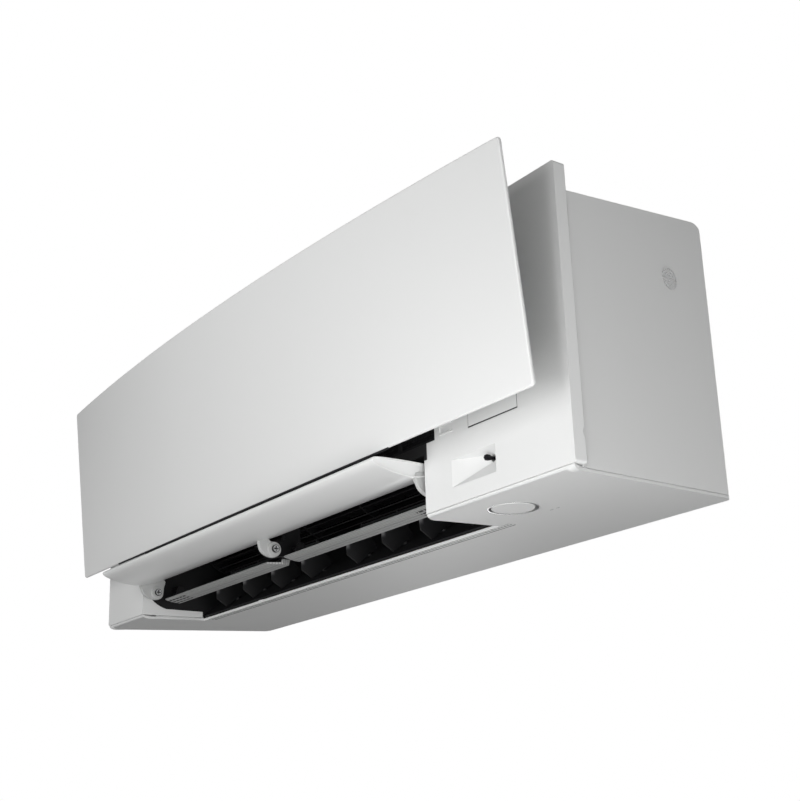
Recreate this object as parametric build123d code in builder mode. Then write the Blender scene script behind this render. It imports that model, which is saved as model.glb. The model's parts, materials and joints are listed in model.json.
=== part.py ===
from build123d import *
from math import asin, atan2, cos, degrees, hypot, pi, radians, sin
import os

# A wall-mounted indoor air conditioning unit. Millimetres, X to the right as seen
# from the room, Y towards the wall, Z up. The wall is the plane Y = 0 and the lower
# edge of the front frame is Z = 0. It is drawn running: front panel forward, flap open.
# The written pieces are moved down so that the middle of the wall holes is the origin.

# ---------------------------------------------------------------- driving sizes
unit_width = 998.0
frame_half = unit_width / 2
frame_height = 303.0
frame_front_y = -247.5
flange_depth = 14.3
wall = 2.5
skin = 3.0
sheet = 1.2
slip = 0.3            # gap between a moving piece and what it passes
running = 0.05        # radial play of a pin in its hole
seam = 0.4            # shadow line between two covers

# casing behind the frame
casing_front_half = frame_half - 7.0
casing_rear_half = casing_front_half - 28.0
casing_front_top = 278.0
casing_rear_top = 310.0
casing_front_low = -5.0
casing_rear_low = 3.0
casing_round = 9.0
casing_top_round = 18.0
cover_thickness = 3.2
grille_slot_length = 82.0
grille_slot_width = 9.0

# outlet and air duct
duct_left = 112.0 - frame_half
duct_right = frame_half - 224.0
duct_liner = 3.0
outlet_top = 62.5
outlet_lip_y = -150.0
floor_bend_y = -92.0
floor_bend_z = 46.0
scroll_top_y = -52.0
scroll_top_z = 190.0
tongue_y = -163.0
tongue_z = 88.0

# air inlet in the frame
inlet_left = 99.0 - frame_half
inlet_right = frame_half - 205.0
inlet_low = 74.0
inlet_high = 262.0

# fan and its motor
fan_y = -112.0
fan_z = 118.0
fan_radius = 52.0
fan_blade_depth = 13.0
fan_blades = 28
fan_blade_thickness = 1.6
fan_shaft_radius = 4.0
fan_left = duct_left + 7.0
fan_right = duct_right - 9.0
fan_ring_thickness = 2.5
fan_rings = 6
motor_radius = 42.0
motor_length = 58.0

# front panel
panel_half = frame_half - 3.7
panel_thickness = 4.0
panel_height = 246.2
panel_tilt = 5.45
panel_front_y = -288.7
panel_low_z = 66.3
panel_low_bow = 1.8
panel_high_bow = 27.9
panel_shut_gap = 0.6
panel_shut_low = 57.0

# panel arms
arm_xs = (80.0 - frame_half, frame_half - 186.0)
arm_width = 8.0
arm_height = 10.0
lower_arm_at = 44.0
upper_arm_at = 200.0
arm_pin_behind = 17.0
arm_pin_radius = 2.0
lower_arm_length = 82.0
upper_arm_length = 108.0
rack_module = 1.0
pinion_teeth = 16
pinion_at = 62.0
tooth_play = 0.25
ear_thickness = 3.0
guide_depth = 22.0

# flap
flap_axis_y = -230.0
flap_axis_z = 30.0
flap_left = duct_left + 4.0
flap_right = duct_right - 4.0
flap_top_arc = ((-308.0, 56.5), (-262.0, 55.8), (-215.0, 54.0))
flap_rear_low = (-214.0, 51.5)
flap_under_arc = ((-230.0, 45.0), (-245.5, 41.2), (-262.0, 38.0))
flap_nose_arc = ((-309.5, 47.2), (-311.2, 52.2), (-308.0, 56.5))
hub_radius = 10.0
hub_width = 8.0
screw_radius = 2.5
screw_head_radius = 4.75
screw_head_height = 3.0
centre_hub_x = -66.0

# grooved blades
blade_axis_y = -196.0
blade_axis_z = 36.0
blade_pin = 2.0
left_blade_ends = (duct_left + 12.0, -79.0)
right_blade_ends = (-54.0, duct_right - 13.0)
stay_left = -76.0
stay_right = -68.0

# vanes
vane_spacing = (duct_right - duct_left) * 75 / 662
left_vane_start = duct_left + 58.0
right_vane_start = 0.0
vane_count = 4
vane_thickness = 1.6
vane_foot_y = -127.0
vane_pin = 2.0
vane_height = 36.0
link_pin = 1.5
link_at = -14.0
link_thickness = 2.0
link_width = 7.0

# controls
button_x = frame_half - 150.0
button_y = -194.5
button_radius = 22.0
ring_width = 4.0
vent_y = -70.0
vent_z = 228.0
vent_radius = 14.0

frame_back_y = frame_front_y + flange_depth
skin_back_y = frame_front_y + skin
duct_length = duct_right - duct_left

os.makedirs("parts", exist_ok=True)


# ---------------------------------------------------------------- helpers
def side_plane(x):
    """Plane seen from the right: sketch X is the unit's Y, sketch Y its Z."""
    return Plane(origin=(x, 0, 0), x_dir=(0, 1, 0), z_dir=(1, 0, 0))


def front_plane(y):
    """Plane seen from the room: sketch X is the unit's X, sketch Y its Z."""
    return Plane(origin=(0, y, 0), x_dir=(1, 0, 0), z_dir=(0, -1, 0))


def save(builder, label):
    """Label a finished piece and write it, counted from the middle of the wall holes."""
    builder.part.label = label
    placed = builder.part.moved(Location((0, 0, -plate_centre_z)))
    placed.label = label
    export_step(placed, f"parts/{label}.step")


def between(start, end, share):
    """Value at a share of the way from start to end."""
    return start + (end - start) * share


def casing_low(y):
    """Height of the casing's underside at a distance from the wall."""
    return between(casing_rear_low, casing_front_low, y / frame_back_y)


def casing_top(y):
    """Height of the casing's top at a distance from the wall."""
    return between(casing_rear_top, casing_front_top, y / frame_back_y)


def casing_half(y):
    """Half width of the casing at a distance from the wall."""
    return between(casing_rear_half, casing_front_half, y / frame_back_y)


def casing_plan(inset, front_y, rear_y):
    """Plan of the casing drawn in by inset, with rounded rear corners."""
    run_in = 14.0
    flare = 3.0
    step_y = frame_back_y + run_in
    front_half = casing_half(front_y) - inset
    with BuildSketch() as plan:
        with BuildLine():
            Line((0, front_y), (front_half + flare, front_y))
            SagittaArc((front_half + flare, front_y), (casing_half(step_y) - inset, step_y), 1.0)
            Line((casing_half(step_y) - inset, step_y), (casing_half(rear_y) - inset, rear_y))
            Line((casing_half(rear_y) - inset, rear_y), (0, rear_y))
            mirror(about=Plane.YZ)
        make_face()
        rear_corners = plan.vertices().group_by(Axis.Y)[-1]
        outer_corners = [v for v in rear_corners if abs(v.X) > casing_round]
        fillet(outer_corners, radius=casing_round - inset)
    return plan.sketch


def casing_block(inset, low_lift, front_y, rear_y):
    """Solid bounded by the casing's plan and its side outline, drawn in by inset."""
    with BuildPart() as block:
        with BuildSketch(side_plane(-frame_half)) as side:
            with BuildLine():
                Polyline((front_y, casing_low(front_y) + low_lift),
                         (rear_y, casing_low(rear_y) + low_lift),
                         (rear_y, casing_top(rear_y) - inset),
                         (front_y, casing_top(front_y) - inset), close=True)
            make_face()
            rear_top = side.vertices().group_by(Axis.X)[-1].sort_by(Axis.Y)[-1]
            fillet(rear_top, radius=casing_top_round - inset)
        extrude(amount=unit_width)
        with BuildSketch(Plane.XY.offset(-frame_height)):
            add(casing_plan(inset, front_y, rear_y))
        extrude(amount=frame_height * 3, mode=Mode.INTERSECT)
    return block.part


# ---------------------------------------------------------------- air path lines
floor_run = hypot(floor_bend_y - outlet_lip_y, floor_bend_z - skin)
along_y = (outlet_lip_y - floor_bend_y) / floor_run
along_z = (skin - floor_bend_z) / floor_run
duct_floor_angle = degrees(atan2(-along_z, -along_y))


def floor_z(y):
    """Height of the duct floor's centre line at a distance from the wall."""
    return between(skin, floor_bend_z, (y - outlet_lip_y) / (floor_bend_y - outlet_lip_y))


def vane_plane(x):
    """Plane of the duct floor at a vane's foot: sketch X points down the flow."""
    return Plane(origin=(x, vane_foot_y, floor_z(vane_foot_y)),
                 x_dir=(0, along_y, along_z), z_dir=(0, along_z, -along_y))


def side_of_vane(x):
    """Plane across a vane's pin: sketch X down the flow, sketch Y off the floor."""
    return Plane(origin=(x, vane_foot_y, floor_z(vane_foot_y)),
                 x_dir=(0, along_y, along_z), z_dir=(-1, 0, 0))


# ---------------------------------------------------------------- mounting plate
plate_half = frame_half - 169.0
plate_low = 60.0
plate_high = 268.0
plate_hole_radius = 2.75
plate_hole_spacing = (520.0, 150.0)
plate_centre_z = 160.0
hook_xs = (-250.0, 250.0)
hook_width = 60.0
hook_reach = 7.0
hook_rise = 12.0
chassis_back_y = -12.0

with BuildPart() as mounting_plate:
    with BuildSketch(front_plane(0)):
        with Locations((0, (plate_low + plate_high) / 2)):
            RectangleRounded(2 * plate_half, plate_high - plate_low, 12)
        with Locations((0, plate_centre_z)):
            with GridLocations(plate_hole_spacing[0], plate_hole_spacing[1], 2, 2):
                Circle(plate_hole_radius, mode=Mode.SUBTRACT)
            with GridLocations(200, 0, 3, 1):
                RectangleRounded(130, 90, 14, mode=Mode.SUBTRACT)
    extrude(amount=sheet)
    for x in hook_xs:
        with BuildSketch(side_plane(x - hook_width / 2)):
            with BuildLine():
                Polyline((0, plate_high - 20), (-hook_reach, plate_high - 20),
                         (-hook_reach, plate_high - 20 + hook_rise),
                         (-hook_reach + sheet, plate_high - 20 + hook_rise),
                         (-hook_reach + sheet, plate_high - 20 + sheet),
                         (0, plate_high - 20 + sheet), close=True)
            make_face()
        extrude(amount=hook_width)
    rib_height = 4.0
    for z in (plate_low + 14, plate_high - 36):
        with BuildSketch(side_plane(-plate_half + 40)):
            with Locations((-sheet - rib_height / 2, z)):
                Rectangle(rib_height, 5)
        extrude(amount=2 * plate_half - 80)
save(mounting_plate, "mounting_plate")


# ---------------------------------------------------------------- rear chassis
chassis_left = duct_left - duct_liner
chassis_right = duct_right + duct_liner
chassis_wall = 3.0
end_wall_high = 268.0
end_wall_low = 5.0
pipe_notch_y = -60.0
pipe_notch_z = 78.0
casing_foot_x = 220.0
casing_foot_z = 280.0
casing_foot_height = 14.0
back_half = frame_half - 63.0
back_low = 14.0
back_high = 288.0
bearing_bore = 14.0
flap_boss_radius = 5.0
blade_boss_radius = 5.0
roof_rise = 23.0
roof_run = tongue_y - frame_back_y
roof_front_z = outlet_top + 2.5
motor_bore = 18.0

with BuildPart() as rear_chassis:
    # back plate that hangs on the mounting plate
    with BuildSketch(front_plane(chassis_back_y + chassis_wall)):
        with Locations((0, (back_low + back_high) / 2)):
            RectangleRounded(2 * back_half, back_high - back_low, 10)
    extrude(amount=chassis_wall)
    # spacer ribs that bear on the plate
    with BuildSketch(front_plane(-sheet)):
        with Locations((0, plate_centre_z)):
            with GridLocations(2 * plate_half - 60, 0, 2, 1):
                Rectangle(10, plate_high - plate_low - 40)
    extrude(amount=-chassis_back_y - sheet)
    # end walls of the air path
    for x in (chassis_left - chassis_wall, chassis_right):
        with BuildSketch(side_plane(x)):
            with BuildLine():
                Polyline((pipe_notch_y, end_wall_low), (frame_back_y, end_wall_low),
                         (frame_back_y, 236), (-150, end_wall_high),
                         (-110, end_wall_high), (chassis_back_y, 200),
                         (chassis_back_y, pipe_notch_z), (pipe_notch_y, pipe_notch_z), close=True)
            make_face()
        extrude(amount=chassis_wall)
    # scroll behind the fan running into the outlet floor
    with BuildSketch(side_plane(chassis_left)):
        with BuildLine() as floor_line:
            floor_edge = Line((outlet_lip_y, skin), (floor_bend_y, floor_bend_z))
            TangentArc([(floor_bend_y, floor_bend_z), (scroll_top_y, scroll_top_z)],
                       tangent=floor_edge % 1)
        trace(line_width=chassis_wall)
    extrude(amount=chassis_right - chassis_left)
    # roof of the outlet with the tongue close to the fan
    with BuildSketch(side_plane(chassis_left)):
        with BuildLine():
            Polyline((frame_back_y - roof_run / 10, roof_front_z - roof_rise / 10),
                     (tongue_y, roof_front_z + roof_rise), (tongue_y - 8, tongue_z + 9))
        trace(line_width=chassis_wall)
    extrude(amount=chassis_right - chassis_left)
    with BuildSketch(front_plane(frame_back_y)):
        with Locations((0, roof_front_z)):
            Rectangle(unit_width, 4 * chassis_wall)
    extrude(amount=flange_depth, mode=Mode.SUBTRACT)
    # shelf under the coil at the back
    with BuildSketch(side_plane(chassis_left)):
        with Locations(((scroll_top_y + chassis_back_y) / 2, scroll_top_z - 4)):
            Rectangle(chassis_back_y - scroll_top_y, chassis_wall)
    extrude(amount=chassis_right - chassis_left)
    # bosses for the flap and blade axes
    boss_reach = flap_left - slip - chassis_left
    for x, reach in ((chassis_left, boss_reach), (chassis_right, -boss_reach)):
        with BuildSketch(side_plane(x)):
            with Locations((flap_axis_y, flap_axis_z)):
                Circle(flap_boss_radius)
            with Locations((blade_axis_y, blade_axis_z)):
                Circle(blade_boss_radius)
        extrude(amount=reach)
    # feet that hold the casing's rear edge
    for x in (-casing_foot_x, casing_foot_x):
        with BuildSketch(front_plane(-wall)):
            with Locations((x, casing_foot_z)):
                Rectangle(40, casing_foot_height)
        extrude(amount=-chassis_back_y - wall)
    # bores: fan bearing, motor shaft, hinge screws, blade pins, vane pins
    with BuildSketch(side_plane(chassis_left - 20)):
        with Locations((fan_y, fan_z)):
            Circle(bearing_bore)
    extrude(amount=40, mode=Mode.SUBTRACT)
    with BuildSketch(side_plane(chassis_right - 20)):
        with Locations((fan_y, fan_z)):
            Circle(motor_bore)
    extrude(amount=40, mode=Mode.SUBTRACT)
    with BuildSketch(side_plane(chassis_left - 20)):
        with Locations((flap_axis_y, flap_axis_z)):
            Circle(screw_radius)
        with Locations((blade_axis_y, blade_axis_z)):
            Circle(blade_pin + running)
    extrude(amount=duct_length + 60, mode=Mode.SUBTRACT)
    with BuildSketch(side_plane(duct_right - 10)):
        with Locations((flap_axis_y, flap_axis_z)):
            Circle(screw_radius + slip)
    extrude(amount=40, mode=Mode.SUBTRACT)
    # floor holes of the vane pins
    for start in (left_vane_start, right_vane_start):
        for step in range(vane_count):
            with BuildSketch(vane_plane(start + step * vane_spacing)):
                Circle(vane_pin + running)
            extrude(amount=2 * chassis_wall, both=True, mode=Mode.SUBTRACT)
save(rear_chassis, "rear_chassis")


# ---------------------------------------------------------------- casing
grille_columns = 8
grille_rows = 9
grille_pitch_x = 2 * casing_front_half / 9.5
grille_pitch_y = 19.0
grille_centre_y = -128.0
rear_opening_half = casing_rear_half - casing_round
rear_opening_top = casing_rear_top - 2 * casing_top_round + 4
knockout_low = (-62.0, -10.0)
knockout_high = (-9.0, 80.0)
side_slope = degrees(atan2(casing_front_half - casing_rear_half, -frame_back_y))
vent_plane = Plane(origin=(casing_half(vent_y), vent_y, vent_z),
                   x_dir=(-sin(radians(side_slope)), cos(radians(side_slope)), 0),
                   z_dir=(cos(radians(side_slope)), sin(radians(side_slope)), 0))

with BuildPart() as casing_shell:
    add(casing_block(0, cover_thickness + seam, frame_back_y, 0))
    add(casing_block(wall, -frame_height / 10, frame_back_y - flange_depth, -wall),
        mode=Mode.SUBTRACT)
    # open back
    with BuildSketch(front_plane(-casing_round)):
        with Locations((0, 0)):
            Rectangle(2 * rear_opening_half, rear_opening_top, align=(Align.CENTER, Align.MIN))
    extrude(amount=-2 * casing_round, mode=Mode.SUBTRACT)
    # intake grille in the top
    with BuildSketch(Plane.XY.offset(frame_height * 0.8)):
        with Locations((0, grille_centre_y)):
            with GridLocations(grille_pitch_x, grille_pitch_y, grille_columns, grille_rows):
                SlotOverall(grille_slot_length + grille_slot_width, grille_slot_width)
    extrude(amount=frame_height, mode=Mode.SUBTRACT)
    # knock-out for the lines in the left side
    with BuildSketch(side_plane(-frame_half)):
        with Locations(knockout_low):
            Rectangle(knockout_high[0] - knockout_low[0], knockout_high[1] - knockout_low[1],
                      align=(Align.MIN, Align.MIN))
    extrude(amount=frame_half - casing_rear_half + 4 * wall, mode=Mode.SUBTRACT)
    # seat of the round sensor grille
    with BuildSketch(vent_plane.offset(-2 * wall)):
        Circle(vent_radius + seam / 2)
    extrude(amount=4 * wall, mode=Mode.SUBTRACT)
save(casing_shell, "casing_shell")

vent_rings = (1, 6, 12, 18)
vent_hole_radius = 0.95
vent_ring_pitch = 3.7

with BuildPart() as sensor_grille:
    with BuildSketch(vent_plane.offset(-wall)):
        Circle(vent_radius + seam / 2)
        for ring, count in enumerate(vent_rings):
            with PolarLocations(ring * vent_ring_pitch, count):
                Circle(vent_hole_radius, mode=Mode.SUBTRACT)
    extrude(amount=wall)
save(sensor_grille, "sensor_grille")


# ---------------------------------------------------------------- bottom cover
groove_ys = (outlet_lip_y + 4.0, outlet_lip_y + 7.0, outlet_lip_y + 10.0)
groove_width = 1.2
groove_depth = 1.1
groove_right = frame_half - 211.0
ring_outer = button_radius + ring_width
lamp_centres = ((frame_half - 141.0, -151.0), (frame_half - 131.5, -151.0))
lamp_size = (5.0, 1.6)
cover_front_y = frame_front_y + 0.8

with BuildPart() as bottom_cover:
    with BuildSketch(side_plane(-frame_half)):
        with BuildLine():
            lip = Line((cover_front_y, -seam), (cover_front_y, -seam - 1.2))
            roll_y = frame_front_y + 22
            Spline([lip @ 1, (roll_y, casing_low(roll_y))],
                   tangents=[(0.4, -0.92), (casing_low(1) - casing_low(0) + 1, 0.034)])
            Line((roll_y, casing_low(roll_y)), (0, casing_rear_low))
            Line((0, casing_rear_low), (0, casing_rear_low + cover_thickness))
            Line((0, casing_rear_low + cover_thickness),
                 (frame_back_y, casing_low(frame_back_y) + cover_thickness))
            Line((frame_back_y, casing_low(frame_back_y) + cover_thickness), lip @ 0)
        make_face()
    extrude(amount=unit_width)
    with BuildSketch(Plane.XY.offset(-frame_height)):
        add(casing_plan(0, cover_front_y, 0))
    extrude(amount=frame_height * 2, mode=Mode.INTERSECT)
    # ribs that carry the end walls of the air path
    for x in (chassis_left - chassis_wall, chassis_right):
        with BuildSketch(Plane.XY.offset(end_wall_low)):
            with Locations((x, frame_back_y + 8)):
                Rectangle(chassis_wall, 60, align=(Align.MIN, Align.MIN))
        extrude(amount=-end_wall_low - 1)
    # outlet
    with BuildSketch(Plane.XY.offset(-frame_height)):
        with Locations((duct_left, outlet_lip_y)):
            Rectangle(duct_length, frame_height, align=(Align.MIN, Align.MAX))
        with Locations((button_x, button_y)):
            Circle(ring_outer)
        for centre in lamp_centres:
            with Locations(centre):
                SlotOverall(*lamp_size)
    extrude(amount=2 * frame_height, mode=Mode.SUBTRACT)
    # fine grooves behind the outlet edge
    for y in groove_ys:
        with BuildSketch(Plane.XY.offset(casing_low(y) + groove_depth)):
            with Locations((duct_left + 10, y)):
                Rectangle(groove_right - duct_left - 10, groove_width,
                          align=(Align.MIN, Align.CENTER))
        extrude(amount=-frame_height, mode=Mode.SUBTRACT)
save(bottom_cover, "bottom_cover")

with BuildPart() as lamp_lenses:
    for centre in lamp_centres:
        with BuildSketch(Plane.XY.offset(casing_low(centre[1]) - 0.1)):
            with Locations(centre):
                SlotOverall(*lamp_size)
        extrude(amount=cover_thickness)
save(lamp_lenses, "lamp_lenses")


# ---------------------------------------------------------------- button
button_face_z = casing_low(button_y) - 0.5
button_thickness = 3.0
stem_radius = 4.0
bridge_z = button_face_z + 9.0
bridge_width = 12.0

with BuildPart() as button_ring:
    with BuildSketch(Plane.XY.offset(button_face_z)):
        with Locations((button_x, button_y)):
            Circle(ring_outer)
            Circle(button_radius + slip, mode=Mode.SUBTRACT)
    extrude(amount=bridge_z - button_face_z + 2)
    with Locations((button_x, button_y, button_face_z)):
        Cone(ring_outer - 1.2, button_radius + slip, 2.2,
             align=(Align.CENTER, Align.CENTER, Align.MIN), mode=Mode.SUBTRACT)
    with BuildSketch(Plane.XY.offset(casing_low(button_y) + cover_thickness + 1.0)):
        with Locations((button_x, button_y)):
            Circle(ring_outer + 3)
            Circle(button_radius + slip, mode=Mode.SUBTRACT)
    extrude(amount=2)
    with BuildSketch(Plane.XY.offset(bridge_z)):
        with Locations((button_x, button_y)):
            Rectangle(2 * button_radius + ring_width, bridge_width)
            Circle(stem_radius + running, mode=Mode.SUBTRACT)
    extrude(amount=2)
save(button_ring, "button_ring")

with BuildPart() as power_button:
    with BuildSketch(Plane.XY.offset(button_face_z)):
        with Locations((button_x, button_y)):
            Circle(button_radius)
    extrude(amount=button_thickness)
    chamfer(power_button.edges().sort_by(Axis.Z)[0], length=0.5)
    with BuildSketch(Plane.XY.offset(button_face_z)):
        with Locations((button_x, button_y)):
            Circle(stem_radius)
    extrude(amount=bridge_z - button_face_z + 4)
save(power_button, "power_button")


# ---------------------------------------------------------------- panel geometry
tilt = radians(panel_tilt)
up = (0, -sin(tilt), cos(tilt))
back = (0, cos(tilt), sin(tilt))


def panel_point(height, depth):
    """Y and Z, panel forward, of a point at a height and depth behind the face."""
    y = panel_front_y + height * up[1] + depth * back[1]
    z = panel_low_z + height * up[2] + depth * back[2]
    return y, z


def shut_point(height, depth):
    """Y and Z of the same point with the panel shut against the frame."""
    shut_front_y = frame_front_y - panel_shut_gap - panel_thickness
    return shut_front_y + depth, panel_shut_low + height


def arm_stroke(height):
    """Length and unit direction, shut to open, of the arm pinned at a height."""
    shut_y, shut_z = shut_point(height, arm_pin_behind)
    open_y, open_z = panel_point(height, arm_pin_behind)
    run = hypot(open_y - shut_y, open_z - shut_z)
    return run, (open_y - shut_y) / run, (open_z - shut_z) / run


def panel_band(near, far, height_low, height_high, half):
    """Solid between two depths behind the face, from one height to another."""
    with BuildPart() as band:
        for height in (height_low, height_high):
            bow = between(panel_low_bow, panel_high_bow, height / panel_height)
            bow = bow * (half / panel_half) ** 2
            offset = between(panel_low_bow, panel_high_bow, height / panel_height) - bow
            y, z = panel_point(height, 0)
            level = Plane(origin=(0, y, z), x_dir=(1, 0, 0), z_dir=up)
            with BuildSketch(level):
                with BuildLine():
                    ThreePointArc((-half, near), (0, near - bow), (half, near))
                    Line((half, near), (half, far))
                    ThreePointArc((half, far), (0, far - bow), (-half, far))
                    Line((-half, far), (-half, near))
                make_face()
        loft(ruled=True)
    return band.part


arms = {}
for name, height, length in (("lower", lower_arm_at, lower_arm_length),
                             ("upper", upper_arm_at, upper_arm_length)):
    stroke, dir_y, dir_z = arm_stroke(height)
    pin_y, pin_z = panel_point(height, arm_pin_behind)
    arms[name] = {"height": height, "length": length, "stroke": stroke,
                  "dir": (dir_y, dir_z), "pin": (pin_y, pin_z)}
    print(name, "arm: pin at", round(pin_y, 2), round(pin_z, 2), "stroke", round(stroke, 3),
          "direction", round(dir_y, 4), round(dir_z, 4))


def arm_plane(name, x):
    """Side plane at an arm's pin: sketch X runs back along the arm, sketch Y up."""
    arm = arms[name]
    return Plane(origin=(x, arm["pin"][0], arm["pin"][1]),
                 x_dir=(0, -arm["dir"][0], -arm["dir"][1]), z_dir=(1, 0, 0))


# ---------------------------------------------------------------- front frame
cheek_curve_top = 55.0
cheek_curve_mid = (-236.5, 25.0)
cheek_curve_end = (-211.0, 10.0)
cheek_rear_y = outlet_lip_y - 3.5
cheek_rear_low = 1.6
filter_ledge = 4.0
sensor_low = (frame_half - 179.0, 17.5)
sensor_high = (frame_half - 110.0, 46.0)
sensor_apex = (frame_half - 126.0, 36.5)
sensor_depth = 11.0
lens_radius = 3.6
service_low = (frame_half - 150.0, 72.0)
service_high = (frame_half - 74.0, 166.0)
arm_slot_width = arm_width + 8.0
arm_slot_height = 30.0
screw_places = ((39.0 - frame_half, 110.0), (39.0 - frame_half, 250.0),
                (frame_half - 145.0, 190.0), (frame_half - 145.0, 262.0))
clip_low = (frame_half - 196.0, 76.0)
clip_high = (frame_half - 175.0, 86.5)
clip_height = 1.6
clip_wall = 1.4
locating_rib = 2.0
boss_radius = 5.0
boss_back_y = -228.0


def centred(low, high):
    """Centre, width and height of a rectangle given by two corners."""
    return (((low[0] + high[0]) / 2, (low[1] + high[1]) / 2), high[0] - low[0], high[1] - low[1])


inlet_centre, inlet_width, inlet_tall = centred((inlet_left, inlet_low), (inlet_right, inlet_high))
service_centre, service_width, service_tall = centred(service_low, service_high)
sensor_centre, sensor_width, sensor_tall = centred(sensor_low, sensor_high)

with BuildPart() as front_frame:
    with BuildSketch(front_plane(frame_back_y)):
        with Locations((0, frame_height / 2)):
            RectangleRounded(unit_width, frame_height, 3)
    extrude(amount=flange_depth)
    with BuildSketch(front_plane(frame_back_y)):
        with Locations((0, frame_height / 2)):
            Rectangle(unit_width - 2 * skin, frame_height - 2 * skin)
        # material kept round the openings
        with Locations(inlet_centre):
            Rectangle(inlet_width + 2 * skin, inlet_tall + 2 * skin, mode=Mode.SUBTRACT)
        with Locations((duct_left - skin, 0)):
            Rectangle(duct_length + 2 * skin, outlet_top + skin,
                      align=(Align.MIN, Align.MIN), mode=Mode.SUBTRACT)
    extrude(amount=flange_depth - skin, mode=Mode.SUBTRACT)
    # air inlet with a ledge for the filters
    with BuildSketch(front_plane(frame_back_y + 1)):
        with Locations(inlet_centre):
            Rectangle(inlet_width - 2 * filter_ledge, inlet_tall - 2 * filter_ledge)
        with Locations((duct_left, -1)):
            Rectangle(duct_length, outlet_top + 1, align=(Align.MIN, Align.MIN))
    extrude(amount=flange_depth + 2, mode=Mode.SUBTRACT)
    with BuildSketch(front_plane(frame_back_y - skin)):
        with Locations(inlet_centre):
            Rectangle(inlet_width, inlet_tall)
    extrude(amount=flange_depth, mode=Mode.SUBTRACT)
    # block behind the sensor recess, then the recess
    with BuildSketch(front_plane(frame_back_y)):
        with Locations(sensor_centre):
            Rectangle(sensor_width + 2 * skin, sensor_tall + 2 * skin)
    extrude(amount=flange_depth - skin)
    with BuildSketch(front_plane(frame_front_y)):
        with Locations(sensor_centre):
            Rectangle(sensor_width, sensor_tall)
    with BuildSketch(front_plane(frame_front_y + sensor_depth)):
        with Locations(sensor_apex):
            Rectangle(2 * lens_radius + 1, 2 * lens_radius + 1)
    loft(ruled=True, mode=Mode.SUBTRACT)
    # bores for the sensor lens, openings for the cover and the arms
    with BuildSketch(front_plane(frame_back_y + 1)):
        with Locations(sensor_apex):
            Circle(lens_radius)
        with Locations(service_centre):
            Rectangle(service_width, service_tall)
        for x in arm_xs:
            for arm in arms.values():
                reach = (arm["pin"][0] - skin_back_y) / arm["dir"][0]
                with Locations((x, arm["pin"][1] - reach * arm["dir"][1])):
                    Rectangle(arm_slot_width, arm_slot_height)
    extrude(amount=flange_depth + 2, mode=Mode.SUBTRACT)
    # inner sides of the cheeks, where the shut flap ends
    for x in (duct_left - duct_liner, duct_right):
        with BuildSketch(side_plane(x)):
            with BuildLine():
                Line((frame_front_y, 0), (frame_front_y, cheek_curve_top))
                ThreePointArc((frame_front_y, cheek_curve_top), cheek_curve_mid, cheek_curve_end)
                Line(cheek_curve_end, (cheek_rear_y, cheek_curve_end[1]))
                Line((cheek_rear_y, cheek_curve_end[1]), (cheek_rear_y, cheek_rear_low))
                Line((cheek_rear_y, cheek_rear_low), (frame_front_y, 0))
            make_face()
        extrude(amount=duct_liner)
    # clip that holds the shut panel's lower corner
    clip_centre, clip_width, clip_tall = centred(clip_low, clip_high)
    with BuildSketch(front_plane(frame_front_y)):
        with Locations(clip_centre):
            Rectangle(clip_width, clip_tall)
            with Locations((clip_wall, 0)):
                Rectangle(clip_width, clip_tall - 2 * clip_wall, mode=Mode.SUBTRACT)
    extrude(amount=clip_height)
    # room for the bosses of the flap axis
    with BuildSketch(side_plane(-frame_half)):
        with Locations((flap_axis_y, flap_axis_z)):
            Circle(flap_boss_radius + slip)
    extrude(amount=unit_width, mode=Mode.SUBTRACT)
    # rib that meets the casing's front edge
    with BuildSketch(front_plane(frame_back_y)):
        with Locations((0, casing_front_top / 2)):
            Rectangle(2 * casing_front_half, casing_front_top)
            Rectangle(2 * (casing_front_half - locating_rib), casing_front_top + 1,
                      mode=Mode.SUBTRACT)
    extrude(amount=flange_depth - skin)
    # screw bosses
    with BuildSketch(front_plane(boss_back_y)):
        with Locations(*screw_places):
            Circle(boss_radius)
    extrude(amount=boss_back_y - skin_back_y)
    with BuildSketch(front_plane(boss_back_y + 1)):
        with Locations(*screw_places):
            Circle(screw_radius)
    extrude(amount=boss_back_y - frame_front_y + 2, mode=Mode.SUBTRACT)
save(front_frame, "front_frame")

with BuildPart() as frame_screws:
    with BuildSketch(front_plane(boss_back_y)):
        with Locations(*screw_places):
            Circle(screw_radius)
    extrude(amount=boss_back_y - frame_front_y)
    with BuildSketch(front_plane(frame_front_y)):
        with Locations(*screw_places):
            Circle(screw_head_radius)
            Rectangle(5, 1, mode=Mode.SUBTRACT)
            Rectangle(1, 5, mode=Mode.SUBTRACT)
    extrude(amount=1.4)
    with BuildSketch(front_plane(frame_front_y)):
        with Locations(*screw_places):
            Circle(screw_head_radius)
    extrude(amount=0.5)
save(frame_screws, "frame_screws")

with BuildPart() as sensor_lens:
    with BuildSketch(front_plane(frame_back_y)):
        with Locations(sensor_apex):
            Circle(lens_radius)
    extrude(amount=flange_depth - sensor_depth + 1)
    with Locations((sensor_apex[0], frame_front_y + sensor_depth, sensor_apex[1])):
        Sphere(lens_radius * 0.92)
save(sensor_lens, "sensor_lens")

with BuildPart() as service_cover:
    with BuildSketch(front_plane(skin_back_y)):
        with Locations(service_centre):
            RectangleRounded(service_width - 2 * seam, service_tall - 2 * seam, 1)
    extrude(amount=skin)
    with BuildSketch(front_plane(skin_back_y + 1.5)):
        with Locations(service_centre):
            RectangleRounded(service_width + 6, service_tall + 6, 2)
    extrude(amount=1.5)
save(service_cover, "service_cover")


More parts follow.
